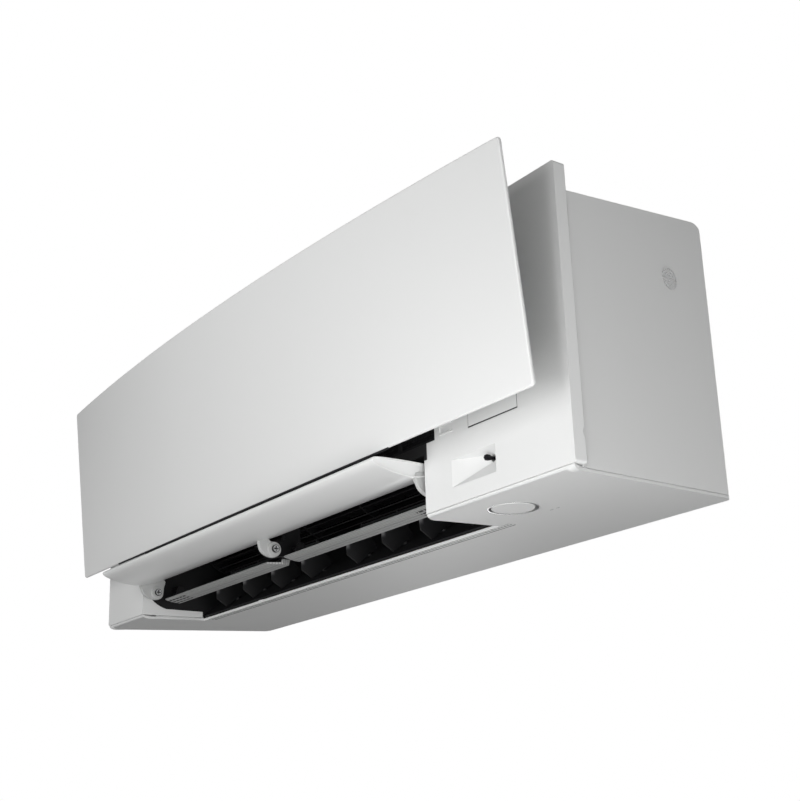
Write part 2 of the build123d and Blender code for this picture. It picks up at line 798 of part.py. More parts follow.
# ---------------------------------------------------------------- arms and their drive
tooth_pitch = pi * rack_module
tooth_half = (tooth_pitch / 2 - tooth_play) / 2
flank = sin(radians(20)) / cos(radians(20))
addendum = rack_module
dedendum = 1.25 * rack_module
pinion_radius = pinion_teeth * rack_module / 2
pinion_drop = arm_height / 2 + dedendum + pinion_radius
rack_width = 5.0
rack_teeth = 18
pinion_reach = {"lower": pinion_at, "upper": pinion_at + 13.0}
ear_reach = arm_width / 2 + slip + ear_thickness
ear_radius = 5.0
guide_half = 11.0
guide_rear_y = skin_back_y + 38.5
pocket_rear_y = skin_back_y + 16.0
motor_shaft_radius = 2.5
panel_motor_radius = 12.0
panel_motor_length = 16.0
arm_sides = ((arm_xs[0], -1), (arm_xs[1], 1))


def arm_point(name, along, above):
    """Y and Z of a point given along an arm, back from its pin, and above it."""
    y_forward, z_forward = arms[name]["dir"]
    pin_y, pin_z = arms[name]["pin"]
    return (pin_y - along * y_forward + above * z_forward,
            pin_z - along * z_forward - above * y_forward)


def arm_bar(name, x):
    """One racked arm with its cross pin, in the open position."""
    length = arms[name]["length"]
    first = pinion_reach[name] + tooth_pitch - (rack_teeth - 1) * tooth_pitch
    with BuildPart() as bar:
        with BuildSketch(arm_plane(name, x - arm_width / 2)):
            Circle(arm_height / 2)
            Rectangle(length, arm_height, align=(Align.MIN, Align.CENTER))
            with Locations((length / 2, 0)):
                SlotOverall(length - 26, 3, mode=Mode.SUBTRACT)
        extrude(amount=arm_width)
        with BuildSketch(arm_plane(name, x - rack_width / 2)):
            for step in range(rack_teeth):
                centre = first + step * tooth_pitch
                root = tooth_half + dedendum * flank
                tip = tooth_half - addendum * flank
                low = -arm_height / 2 - dedendum - addendum
                with BuildLine():
                    Polyline((centre - root, -arm_height / 2 + 0.5),
                             (centre - root, -arm_height / 2), (centre - tip, low),
                             (centre + tip, low), (centre + root, -arm_height / 2),
                             (centre + root, -arm_height / 2 + 0.5), close=True)
                make_face()
        extrude(amount=rack_width)
        with BuildSketch(arm_plane(name, x - ear_reach)):
            Circle(arm_pin_radius)
        extrude(amount=2 * ear_reach)
    return bar.part


def pinion(name, x, side):
    """One pinion on its shaft, a tooth gap turned to the rack."""
    gear_y, gear_z = arm_point(name, pinion_reach[name], -pinion_drop)
    y_up, z_up = arm_point(name, pinion_reach[name], 0)
    up_angle = degrees(atan2(z_up - gear_z, y_up - gear_y))
    step_angle = 360 / pinion_teeth
    with BuildPart() as gear:
        with BuildSketch(side_plane(x - rack_width / 2)):
            root = tooth_half + dedendum * flank
            tip = tooth_half - addendum * flank
            inner = pinion_radius - dedendum - 0.4
            outer = pinion_radius + addendum
            with Locations((gear_y, gear_z)):
                Circle(pinion_radius - dedendum)
            for step in range(pinion_teeth):
                turn = radians(up_angle + (step + 0.5) * step_angle)
                corners = []
                for out, across in ((inner, -root), (outer, -tip), (outer, tip), (inner, root)):
                    corners.append((gear_y + out * cos(turn) - across * sin(turn),
                                    gear_z + out * sin(turn) + across * cos(turn)))
                with BuildLine():
                    Polyline(*corners, close=True)
                make_face()
        extrude(amount=rack_width)
        with BuildSketch(side_plane(x - side * (guide_half - 2))):
            with Locations((gear_y, gear_z)):
                Circle(motor_shaft_radius)
        extrude(amount=side * (2 * guide_half + 4))
    return gear.part


with BuildPart() as lower_arms:
    for x in arm_xs:
        add(arm_bar("lower", x))
save(lower_arms, "lower_arms")

with BuildPart() as upper_arms:
    for x in arm_xs:
        add(arm_bar("upper", x))
save(upper_arms, "upper_arms")

with BuildPart() as lower_pinions:
    for x, side in arm_sides:
        add(pinion("lower", x, side))
save(lower_pinions, "lower_pinions")

with BuildPart() as upper_pinions:
    for x, side in arm_sides:
        add(pinion("upper", x, side))
save(upper_pinions, "upper_pinions")

with BuildPart() as arm_guides:
    for x, side in arm_sides:
        for name in arms:
            gear_y, gear_z = arm_point(name, pinion_reach[name], -pinion_drop)
            slot_reach = (arms[name]["pin"][0] - skin_back_y) / arms[name]["dir"][0]
            slot_z = arms[name]["pin"][1] - slot_reach * arms[name]["dir"][1]
            low_z = gear_z - pinion_radius - 4
            high_z = slot_z + arm_slot_height / 2 + 1.5
            with BuildSketch(side_plane(x - guide_half)):
                with Locations((skin_back_y, low_z)):
                    Rectangle(guide_rear_y - skin_back_y, high_z - low_z,
                              align=(Align.MIN, Align.MIN))
            extrude(amount=2 * guide_half)
            # room for the panel's ears
            with BuildSketch(front_plane(pocket_rear_y)):
                with Locations((x, slot_z)):
                    Rectangle(arm_slot_width, arm_slot_height)
            extrude(amount=pocket_rear_y - skin_back_y + 5, mode=Mode.SUBTRACT)
            # sliding channel, rack channel and pinion chamber
            with BuildSketch(arm_plane(name, x - arm_width / 2 - slip)):
                Rectangle(260, arm_height + 2 * slip)
            extrude(amount=arm_width + 2 * slip, mode=Mode.SUBTRACT)
            with BuildSketch(arm_plane(name, x - rack_width / 2 - slip)):
                with Locations((0, -arm_height / 2 - slip)):
                    Rectangle(260, 2 * dedendum + addendum, align=(Align.CENTER, Align.MAX))
            extrude(amount=rack_width + 2 * slip, mode=Mode.SUBTRACT)
            with BuildSketch(side_plane(x - rack_width / 2 - slip)):
                with Locations((gear_y, gear_z)):
                    Circle(pinion_radius + addendum + 2 * slip)
            extrude(amount=rack_width + 2 * slip, mode=Mode.SUBTRACT)
            with BuildSketch(side_plane(x - 2 * guide_half)):
                with Locations((gear_y, gear_z)):
                    Circle(motor_shaft_radius + running)
            extrude(amount=4 * guide_half, mode=Mode.SUBTRACT)
save(arm_guides, "arm_guides")

with BuildPart() as panel_motors:
    for x, side in arm_sides:
        for name in arms:
            gear_y, gear_z = arm_point(name, pinion_reach[name], -pinion_drop)
            face_x = x + side * guide_half
            with BuildSketch(side_plane(face_x)):
                with Locations((gear_y, gear_z)):
                    SlotOverall(36, 8)
                    Circle(panel_motor_radius)
            extrude(amount=side * 1.5)
            with BuildSketch(side_plane(face_x)):
                with Locations((gear_y, gear_z)):
                    Circle(panel_motor_radius)
            extrude(amount=side * panel_motor_length)
            with BuildSketch(side_plane(face_x)):
                with Locations((gear_y, gear_z)):
                    Circle(motor_shaft_radius + running)
            extrude(amount=side * 6, mode=Mode.SUBTRACT)
save(panel_motors, "panel_motors")


# ---------------------------------------------------------------- front panel
panel_rib_count = 6
panel_rib_depth = 4.0
panel_rib_low = 60.0
panel_rib_high = 195.0
pad_thickness = 2.5
pad_half = 10.0

with BuildPart() as front_panel:
    add(panel_band(panel_thickness / 2, panel_thickness + panel_rib_depth,
                   panel_rib_low, panel_rib_high, panel_half))
    with BuildSketch(front_plane(0)):
        for step in range(panel_rib_count):
            rib_x = between(duct_left + 57, duct_right - 15, step / (panel_rib_count - 1))
            with Locations((rib_x, frame_height / 2)):
                Rectangle(2, 2 * frame_height)
    extrude(amount=2 * unit_width, mode=Mode.INTERSECT)
    add(panel_band(0, panel_thickness, 0, panel_height, panel_half))
save(front_panel, "front_panel")

with BuildPart() as panel_brackets:
    for height in (lower_arm_at, upper_arm_at):
        add(panel_band(panel_thickness, panel_thickness + pad_thickness,
                       height - pad_half, height + pad_half, panel_half))
    with BuildSketch(front_plane(0)):
        with Locations(*[(x, frame_height / 2) for x in arm_xs]):
            Rectangle(2 * ear_reach, 2 * frame_height)
    extrude(amount=2 * unit_width, mode=Mode.INTERSECT)
    for x in arm_xs:
        for height in (lower_arm_at, upper_arm_at):
            pin_y, pin_z = panel_point(height, arm_pin_behind)
            root_y, root_z = panel_point(height, -panel_high_bow)
            loose = 0.5 if height == upper_arm_at else 0
            for ear_x in (x - ear_reach, x + ear_reach - ear_thickness):
                ear = Plane(origin=(ear_x, pin_y, pin_z), x_dir=(0, back[1], back[2]),
                            z_dir=(1, 0, 0))
                with BuildSketch(ear):
                    Circle(ear_radius)
                    with BuildLine():
                        Polyline((0, ear_radius), (0, -ear_radius),
                                 (-arm_pin_behind - panel_high_bow, -pad_half),
                                 (-arm_pin_behind - panel_high_bow, pad_half), close=True)
                    make_face()
                    if loose:
                        SlotCenterToCenter(2 * loose, 2 * (arm_pin_radius + running),
                                           rotation=90, mode=Mode.SUBTRACT)
                    else:
                        Circle(arm_pin_radius + running, mode=Mode.SUBTRACT)
                extrude(amount=ear_thickness)
    add(panel_band(-unit_width / 10, panel_thickness, 0, panel_height, panel_half),
        mode=Mode.SUBTRACT)
save(panel_brackets, "panel_brackets")


# ---------------------------------------------------------------- flap
flap_wall = 2.2
left_hub_x = flap_left
right_hub_x = flap_right - hub_width + 1
left_hub_width = hub_width - 1
centre_hub_width = 10.0
motor_stub_reach = 14.0


def flap_outline():
    """Closed outline of the open flap, seen from the right."""
    with BuildLine() as outline:
        ThreePointArc(*flap_top_arc)
        Polyline(flap_top_arc[-1], flap_rear_low, flap_under_arc[0])
        ThreePointArc(*flap_under_arc)
        Line(flap_under_arc[-1], flap_nose_arc[0])
        ThreePointArc(*flap_nose_arc)
    return outline.line


def hub_outline():
    """Outline of a flap arm from its hub up into the flap."""
    with BuildSketch() as arm:
        with Locations((flap_axis_y, flap_axis_z)):
            Circle(hub_radius)
        with BuildLine():
            Polyline((flap_axis_y - 8.7, flap_axis_z - 5), (flap_axis_y - 28, 39),
                     (flap_axis_y - 28, 52), (flap_axis_y + 13, 52),
                     (flap_axis_y + 9.6, flap_axis_z + 2.8), close=True)
        make_face()
    return arm.sketch


with BuildPart() as main_flap:
    with BuildSketch(side_plane(flap_left)):
        with BuildLine():
            add(flap_outline())
        make_face()
        offset(amount=-flap_wall, mode=Mode.SUBTRACT)
    extrude(amount=flap_right - flap_left)
save(main_flap, "main_flap")

with BuildPart() as flap_solid:
    with BuildSketch(side_plane(flap_left)):
        with BuildLine():
            add(flap_outline())
        make_face()
    extrude(amount=flap_right - flap_left)

with BuildPart() as flap_arms:
    for x, width in ((left_hub_x, left_hub_width), (centre_hub_x, centre_hub_width),
                     (right_hub_x, left_hub_width)):
        with BuildSketch(side_plane(x)):
            add(hub_outline())
        extrude(amount=width)
    add(flap_solid.part, mode=Mode.SUBTRACT)
    with BuildSketch(side_plane(flap_left - 1)):
        with Locations((flap_axis_y, flap_axis_z)):
            Circle(screw_radius + running)
    extrude(amount=flap_right - flap_left - 20, mode=Mode.SUBTRACT)
    with BuildSketch(side_plane(flap_right - 1)):
        with Locations((flap_axis_y, flap_axis_z)):
            Circle(screw_radius)
    extrude(amount=motor_stub_reach + 1)
save(flap_arms, "flap_arms")

hinge_screw_ends = ((chassis_left - chassis_wall, left_hub_x + left_hub_width),
                    (stay_left, centre_hub_x + centre_hub_width))

with BuildPart() as hinge_screws:
    for start, head in hinge_screw_ends:
        with BuildSketch(side_plane(start)):
            with Locations((flap_axis_y, flap_axis_z)):
                Circle(screw_radius)
        extrude(amount=head + slip - start)
        with BuildSketch(side_plane(head + slip)):
            with Locations((flap_axis_y, flap_axis_z)):
                Circle(screw_head_radius)
        extrude(amount=screw_head_height)
        with BuildSketch(side_plane(head + slip + screw_head_height - 1.6)):
            with Locations((flap_axis_y, flap_axis_z)):
                Rectangle(5.6, 1.1, rotation=20)
                Rectangle(1.1, 5.6, rotation=20)
        extrude(amount=2, mode=Mode.SUBTRACT)
save(hinge_screws, "hinge_screws")


# ---------------------------------------------------------------- stay between the blades
stay_outline = ((-208, 90), (-208, 46), (-222, 42), (-232, 38), (-236, 26), (-226, 22),
                (-196, 28), (-186, 34), (-186, 90))

with BuildPart() as centre_stay:
    with BuildSketch(side_plane(stay_left)):
        with BuildLine():
            Polyline(*stay_outline, close=True)
        make_face()
        with Locations((flap_axis_y, flap_axis_z)):
            Circle(flap_boss_radius + 2)
        with Locations((blade_axis_y, blade_axis_z)):
            Circle(blade_boss_radius + 3)
        with Locations((flap_axis_y, flap_axis_z)):
            Circle(screw_radius, mode=Mode.SUBTRACT)
        with Locations((blade_axis_y, blade_axis_z)):
            Circle(blade_pin + running, mode=Mode.SUBTRACT)
    extrude(amount=stay_right - stay_left)
    # cut level with the underside of the outlet roof
    roof_half = chassis_wall / 2 * hypot(roof_rise, roof_run) / roof_run
    with BuildSketch(side_plane(stay_left - 1)):
        with BuildLine():
            Polyline((frame_back_y, roof_front_z - roof_half),
                     (tongue_y, roof_front_z + roof_rise - roof_half),
                     (tongue_y, 120), (frame_back_y, 120), close=True)
        make_face()
    extrude(amount=stay_right - stay_left + 2, mode=Mode.SUBTRACT)
save(centre_stay, "centre_stay")


# ---------------------------------------------------------------- grooved blades
blade_front = (-218.7, 20.5)
blade_rear = (-196.0, 17.0)
blade_thickness = 2.4
blade_ear = 3.0
blade_grooves = (0.25, 0.5, 0.75)
oblique_run = 18.0
stay_pin_reach = 3.5


def blade_solid(left, right, left_pin, right_pin):
    """A grooved blade between two ends with its ears and pins."""
    dir_y = blade_rear[0] - blade_front[0]
    dir_z = blade_rear[1] - blade_front[1]
    width = hypot(dir_y, dir_z)
    dir_y, dir_z = dir_y / width, dir_z / width
    with BuildPart() as blade:
        with BuildSketch(side_plane(left)):
            with BuildLine():
                lower = ThreePointArc(blade_front, (blade_front[0] + dir_y * width / 2 + 0.25,
                                                    blade_front[1] + dir_z * width / 2 - 1.0),
                                      blade_rear)
                Line(lower @ 1, (blade_rear[0] + 0.3, blade_rear[1] + blade_thickness))
                ThreePointArc((blade_rear[0] + 0.3, blade_rear[1] + blade_thickness),
                              (blade_front[0] + dir_y * width / 2 + 0.6,
                               blade_front[1] + dir_z * width / 2 + blade_thickness - 0.6),
                              (blade_front[0] + 0.4, blade_front[1] + blade_thickness - 0.8))
                Line((blade_front[0] + 0.4, blade_front[1] + blade_thickness - 0.8), blade_front)
            make_face()
            for share in blade_grooves:
                y = between(blade_front[0], blade_rear[0], share)
                z = between(blade_front[1], blade_rear[1], share)
                dip = 1.0 - (2 * share - 1) ** 2
                with Locations((y, z - dip)):
                    Rectangle(0.9, 1.1, rotation=-9, mode=Mode.SUBTRACT)
        extrude(amount=right - left)
        for x in (left, right - blade_ear):
            with BuildSketch(side_plane(x)):
                with Locations((blade_axis_y, blade_axis_z)):
                    Circle(blade_boss_radius)
                with BuildLine():
                    Polyline((blade_axis_y - 5, blade_axis_z), (blade_rear[0] - 10, 20.4),
                             (blade_rear[0] + 0.3, blade_rear[1] + 2), (blade_axis_y + 5,
                             blade_axis_z), close=True)
                make_face()
            extrude(amount=blade_ear)
        for start, end in ((left, left_pin), (right, right_pin)):
            with BuildSketch(side_plane(min(start, end))):
                with Locations((blade_axis_y, blade_axis_z)):
                    Circle(blade_pin)
            extrude(amount=abs(end - start))
    return blade.part


with BuildPart() as blade_left:
    add(blade_solid(left_blade_ends[0], left_blade_ends[1], chassis_left - 10,
                    stay_left + stay_pin_reach))
    with BuildSketch(Plane.XY):
        with BuildLine():
            Polyline((left_blade_ends[1] + 1, blade_front[0] - 1),
                     (left_blade_ends[1] - oblique_run, blade_front[0] - 1),
                     (left_blade_ends[1] + 1, blade_rear[0] - 8), close=True)
        make_face()
    extrude(amount=blade_axis_z - 8, mode=Mode.SUBTRACT)
save(blade_left, "blade_left")

with BuildPart() as blade_right:
    add(blade_solid(right_blade_ends[0], right_blade_ends[1], stay_right - stay_pin_reach,
                    chassis_right + 10))
save(blade_right, "blade_right")


# ---------------------------------------------------------------- vanes and links
vane_foot = chassis_wall / 2 + 0.1
vane_outline = ((-16, 2.2), (22, 2.8), (29, 20), (18, 36), (-16, 36))
link_rise = vane_height + slip


def vane_solid(x):
    """A vertical vane with its floor pin and link pin."""
    with BuildPart() as vane:
        with BuildSketch(side_of_vane(x + vane_thickness / 2)):
            with BuildLine():
                Polyline(*vane_outline, close=True)
            make_face()
        extrude(amount=vane_thickness)
        with BuildSketch(vane_plane(x).offset(-chassis_wall / 2 - 1)):
            Circle(vane_pin)
        extrude(amount=chassis_wall / 2 + 5)
        with BuildSketch(vane_plane(x).offset(vane_foot)):
            Circle(vane_pin + 1.5)
        extrude(amount=2)
        with BuildSketch(vane_plane(x).offset(vane_height - 4)):
            with Locations((link_at, 0)):
                Circle(link_pin)
        extrude(amount=link_thickness + 2 * slip + 5)
    return vane.part


def vane_set(label, start):
    """Write the vanes of one side of the outlet as single pieces."""
    for step in range(vane_count):
        with BuildPart() as vane:
            add(vane_solid(start + step * vane_spacing))
        save(vane, f"{label}_{step + 1}")


def link_rod(start):
    """Rod over the link pins of one set of vanes."""
    span = (vane_count - 1) * vane_spacing
    plane = vane_plane(start + span / 2).offset(link_rise)
    with BuildPart() as rod:
        with BuildSketch(plane):
            with Locations((link_at, 0)):
                SlotCenterToCenter(span, link_width, rotation=90)
                with GridLocations(0, vane_spacing, 1, vane_count):
                    Circle(link_pin + running, mode=Mode.SUBTRACT)
        extrude(amount=link_thickness)
    return rod.part


vane_set("vane_left", left_vane_start)
vane_set("vane_right", right_vane_start)

with BuildPart() as link_left:
    add(link_rod(left_vane_start))
save(link_left, "link_left")

with BuildPart() as link_right:
    add(link_rod(right_vane_start))
save(link_right, "link_right")

vane_motor_radius = 9.0
vane_motor_length = 8.0

with BuildPart() as vane_motors:
    for x in (left_vane_start, right_vane_start):
        with BuildSketch(vane_plane(x).offset(-chassis_wall / 2)):
            Circle(vane_motor_radius)
            Circle(vane_pin + running, mode=Mode.SUBTRACT)
        extrude(amount=-2)
        with BuildSketch(vane_plane(x).offset(-chassis_wall / 2 - 2)):
            Circle(vane_motor_radius)
        extrude(amount=2 - vane_motor_length)
save(vane_motors, "vane_motors")


# ---------------------------------------------------------------- cross-flow fan
blade_sweep = 40.0
fan_span = fan_right - fan_left

with BuildPart() as cross_flow_fan:
    with BuildSketch(side_plane(fan_left)):
        for step in range(fan_blades):
            turn = 360 / fan_blades * step
            ends = []
            for radius, lag in ((fan_radius, 0), (fan_radius - fan_blade_depth / 2, 6),
                                (fan_radius - fan_blade_depth, 16)):
                angle = radians(turn + lag)
                ends.append((fan_y + radius * cos(angle), fan_z + radius * sin(angle)))
            with BuildLine() as camber:
                ThreePointArc(*ends)
            trace(line_width=fan_blade_thickness)
    extrude(amount=fan_span)
    ring_step = (fan_span - fan_ring_thickness) / (fan_rings - 1)
    for ring in range(fan_rings):
        with BuildSketch(side_plane(fan_left + ring * ring_step)):
            with Locations((fan_y, fan_z)):
                Circle(fan_radius)
                if ring in (0, fan_rings - 1):
                    with PolarLocations((fan_radius - fan_blade_depth) / 2 + 4, 6):
                        Circle(8, mode=Mode.SUBTRACT)
                else:
                    Circle(fan_radius - fan_blade_depth, mode=Mode.SUBTRACT)
        extrude(amount=fan_ring_thickness)
    for start, end in ((chassis_left - 4, fan_left), (fan_right, chassis_right + 12)):
        with BuildSketch(side_plane(start)):
            with Locations((fan_y, fan_z)):
                Circle(fan_shaft_radius)
        extrude(amount=end - start)
save(cross_flow_fan, "cross_flow_fan")

bearing_width = 10.0

with BuildPart() as fan_bearing:
    with BuildSketch(side_plane(chassis_left - chassis_wall - 4)):
        with Locations((fan_y, fan_z)):
            Circle(bearing_bore)
            Circle(fan_shaft_radius + running, mode=Mode.SUBTRACT)
    extrude(amount=bearing_width)
    with BuildSketch(side_plane(chassis_left - chassis_wall - 4)):
        with Locations((fan_y, fan_z)):
            Circle(bearing_bore + 5)
            Circle(fan_shaft_radius + running, mode=Mode.SUBTRACT)
    extrude(amount=4)
save(fan_bearing, "fan_bearing")

motor_face_x = chassis_right + chassis_wall

with BuildPart() as fan_motor:
    with BuildSketch(side_plane(motor_face_x)):
        with Locations((fan_y, fan_z)):
            Circle(motor_radius)
            with PolarLocations(motor_radius + 2, 4, start_angle=45):
                Circle(6)
    extrude(amount=4)
    with BuildSketch(side_plane(motor_face_x)):
        with Locations((fan_y, fan_z)):
            Circle(motor_radius)
    extrude(amount=motor_length - 8)
    with BuildSketch(side_plane(motor_face_x + motor_length - 8)):
        with Locations((fan_y, fan_z)):
            Circle(motor_radius - 8)
    extrude(amount=8)
    with BuildSketch(side_plane(chassis_right)):
        with Locations((fan_y, fan_z)):
            Circle(motor_bore)
    extrude(amount=chassis_wall)
    with BuildSketch(side_plane(chassis_right)):
        with Locations((fan_y, fan_z)):
            Circle(fan_shaft_radius + running)
    extrude(amount=14, mode=Mode.SUBTRACT)
save(fan_motor, "fan_motor")

with BuildPart() as flap_motor:
    with BuildSketch(side_plane(motor_face_x)):
        with Locations((flap_axis_y, flap_axis_z)):
            SlotOverall(44, 8, rotation=90)
            Circle(13)
    extrude(amount=1.5)
    with BuildSketch(side_plane(motor_face_x)):
        with Locations((flap_axis_y, flap_axis_z)):
            Circle(13)
    extrude(amount=18)
    with BuildSketch(side_plane(motor_face_x)):
        with Locations((flap_axis_y, flap_axis_z)):
            Circle(screw_radius + running)
    extrude(amount=8, mode=Mode.SUBTRACT)
save(flap_motor, "flap_motor")

blade_motor_radius = 10.0

with BuildPart() as blade_motors:
    for x, side in ((chassis_left - chassis_wall, -1), (motor_face_x, 1)):
        with BuildSketch(side_plane(x)):
            with Locations((blade_axis_y, blade_axis_z)):
                Circle(blade_motor_radius)
        extrude(amount=side * 14)
        with BuildSketch(side_plane(x)):
            with Locations((blade_axis_y, blade_axis_z)):
                Circle(blade_pin + running)
        extrude(amount=side * 9, mode=Mode.SUBTRACT)
save(blade_motors, "blade_motors")


# ---------------------------------------------------------------- heat exchanger
coil_thickness = 26.0
coil_tube_radius = 3.5
coil_pitch = 21.0
coil_groove = 1.2
coil_lines = {"front_lower": ((-215.0, 94.0), (-215.0, 184.0)),
              "front_upper": ((-206.0, 192.0), (-146.0, 258.0)),
              "rear": ((-122.0, 252.0), (-62.0, 192.0))}


def slab_plane(name, x):
    """Side plane on a slab: sketch X runs up its middle line, from its first end."""
    (start_y, start_z), (end_y, end_z) = coil_lines[name]
    run = hypot(end_y - start_y, end_z - start_z)
    plane = Plane(origin=(x, start_y, start_z),
                  x_dir=(0, (end_y - start_y) / run, (end_z - start_z) / run), z_dir=(1, 0, 0))
    return plane, run


def coil_slab(name):
    """Fin block of one slab with grooved faces."""
    plane, run = slab_plane(name, chassis_left)
    with BuildPart() as slab:
        with BuildSketch(plane):
            Rectangle(run, coil_thickness, align=(Align.MIN, Align.CENTER))
            grooves = int(run / coil_pitch)
            for side in (-1, 1):
                with Locations((run / 2, side * coil_thickness / 2)):
                    with GridLocations(coil_pitch / 2, 1, 2 * grooves, 1):
                        Rectangle(2 * coil_groove, 2 * coil_groove, rotation=45,
                                  mode=Mode.SUBTRACT)
        extrude(amount=chassis_right - chassis_left)
    return slab.part


with BuildPart() as evaporator_front_lower:
    add(coil_slab("front_lower"))
save(evaporator_front_lower, "evaporator_front_lower")

with BuildPart() as evaporator_front_upper:
    add(coil_slab("front_upper"))
save(evaporator_front_upper, "evaporator_front_upper")

with BuildPart() as evaporator_rear:
    add(coil_slab("rear"))
save(evaporator_rear, "evaporator_rear")

with BuildPart() as coil_tubes:
    for name in coil_lines:
        for x, side in ((chassis_left - chassis_wall, -1), (motor_face_x, 1)):
            plane, run = slab_plane(name, x)
            shift = 0 if side > 0 else coil_pitch
            for step in range(2):
                first = run / 2 - 1.5 * coil_pitch + 2 * step * coil_pitch
                if step and (side < 0 or name == "rear"):
                    continue
                start = plane.from_local_coords((first + shift, 0))
                middle = plane.from_local_coords((first + shift + coil_pitch / 2, 0))
                across = plane.y_dir
                with BuildSketch(Plane(origin=start, x_dir=plane.x_dir, z_dir=(1, 0, 0))):
                    Circle(coil_tube_radius)
                revolve(axis=Axis(middle, across), revolution_arc=180 * side)
save(coil_tubes, "coil_tubes")

pan_front_y = -231.0
pan_rear_y = -184.0
pan_rim_z = 104.0
pan_wall = 2.0
pan_ribs = 4


def roof_top(y):
    """Top face of the outlet roof."""
    return roof_front_z + (y - frame_back_y) * roof_rise / roof_run + roof_half


with BuildPart() as drain_pan:
    with BuildSketch(side_plane(chassis_left)):
        with BuildLine():
            Polyline((pan_front_y, roof_top(pan_front_y)), (pan_rear_y, roof_top(pan_rear_y)),
                     (pan_rear_y, pan_rim_z), (pan_front_y, pan_rim_z), close=True)
        make_face()
        with BuildLine():
            Polyline((pan_front_y + pan_wall, roof_top(pan_front_y) + 3),
                     (pan_rear_y - pan_wall, roof_top(pan_rear_y) + 2),
                     (pan_rear_y - pan_wall, pan_rim_z + 1),
                     (pan_front_y + pan_wall, pan_rim_z + 1), close=True)
        make_face(mode=Mode.SUBTRACT)
    extrude(amount=chassis_right - chassis_left)
    # ribs that carry the lower slab
    for step in range(pan_ribs):
        rib_x = between(chassis_left, chassis_right - 4, step / (pan_ribs - 1))
        with BuildSketch(side_plane(rib_x)):
            with BuildLine():
                Polyline((pan_front_y + 1, roof_top(pan_front_y) + 2),
                         (pan_rear_y - 1, roof_top(pan_rear_y) + 1.5),
                         (pan_rear_y - 1, coil_lines["front_lower"][0][1]),
                         (pan_front_y + 1, coil_lines["front_lower"][0][1]), close=True)
            make_face()
        extrude(amount=4)
save(drain_pan, "drain_pan")

drain_radius = 6.5
drain_x = chassis_left - chassis_wall - 12
drain_end_x = drain_x - 40
drain_path = ((chassis_left - chassis_wall, -196, 84), (drain_x, -196, 84),
              (drain_x, -150, 40), (drain_x, -110, 17), (drain_x, -34, 17),
              (drain_end_x, -34, 17))
with BuildPart() as drain_tube:
    with BuildLine():
        FilletPolyline(*drain_path, radius=8)
    with BuildSketch(Plane(origin=drain_path[0], x_dir=(0, 1, 0), z_dir=(-1, 0, 0))):
        Circle(drain_radius)
        Circle(drain_radius - 1.5, mode=Mode.SUBTRACT)
    sweep(transition=Transition.ROUND)
save(drain_tube, "drain_tube")


# ---------------------------------------------------------------- filters
filter_thickness = 3.6
filter_bar = 6.0
filter_gap = 2.0
filter_rear_y = frame_back_y - skin
filter_middle = (inlet_left + inlet_right) / 2


def filter_frame(left, right):
    """Frame of one filter with its bars and a thin net."""
    width = right - left
    tall = inlet_high - inlet_low - 2 * slip
    centre = ((left + right) / 2, (inlet_low + inlet_high) / 2)
    with BuildPart() as net:
        with BuildSketch(front_plane(filter_rear_y)):
            with Locations(centre):
                Rectangle(width, tall)
                with GridLocations((width - filter_bar) / 5, (tall - filter_bar) / 3, 5, 3):
                    RectangleRounded((width - filter_bar) / 5 - filter_bar,
                                     (tall - filter_bar) / 3 - filter_bar, 2,
                                     mode=Mode.SUBTRACT)
        extrude(amount=filter_thickness)
        with BuildSketch(front_plane(filter_rear_y - filter_thickness / 2)):
            with Locations(centre):
                Rectangle(width - filter_bar, tall - filter_bar)
        extrude(amount=0.4)
    return net.part


with BuildPart() as air_filter_left:
    add(filter_frame(inlet_left + slip, filter_middle - filter_gap / 2))
save(air_filter_left, "air_filter_left")

with BuildPart() as air_filter_right:
    add(filter_frame(filter_middle + filter_gap / 2, inlet_right - slip))
save(air_filter_right, "air_filter_right")


# ---------------------------------------------------------------- electrical parts
box_low = (frame_half - 134.0, 24.0)
box_high = (frame_half - 47.0, 258.0)
box_front_y = -200.0
box_back_y = chassis_back_y
box_wall = 2.0
box_centre, box_width, box_tall = centred(box_low, box_high)

with BuildPart() as electrical_box:
    with BuildSketch(front_plane(box_back_y)):
        with Locations(box_centre):
            RectangleRounded(box_width, box_tall, 4)
    extrude(amount=box_back_y - box_front_y)
    with BuildSketch(front_plane(box_back_y - box_wall)):
        with Locations(box_centre):
            RectangleRounded(box_width - 2 * box_wall, box_tall - 2 * box_wall, 3)
    extrude(amount=box_back_y - box_front_y, mode=Mode.SUBTRACT)
    # posts of the circuit board
    with BuildSketch(front_plane(box_back_y - box_wall)):
        with Locations(box_centre):
            with GridLocations(box_width - 24, box_tall - 40, 2, 2):
                Circle(4)
    extrude(amount=30)
save(electrical_box, "electrical_box")

board_back_y = box_back_y - box_wall - 30

with BuildPart() as circuit_board:
    with BuildSketch(front_plane(board_back_y)):
        with Locations(box_centre):
            Rectangle(box_width - 12, box_tall - 20)
    extrude(amount=1.6)
    component_y = board_back_y - 1.6
    for x, z, width, tall, height in ((-24, 70, 26, 34, 22), (22, 74, 26, 18, 16),
                                      (-16, 10, 40, 20, 10), (26, -20, 22, 40, 18),
                                      (-26, -60, 26, 26, 26)):
        with BuildSketch(front_plane(component_y)):
            with Locations((box_centre[0] + x, box_centre[1] + z)):
                Rectangle(width, tall)
        extrude(amount=height)
    with BuildSketch(front_plane(component_y)):
        with Locations((box_centre[0] + 22, box_centre[1] + 38)):
            with GridLocations(14, 16, 2, 2):
                Circle(5.5)
    extrude(amount=20)
save(circuit_board, "circuit_board")

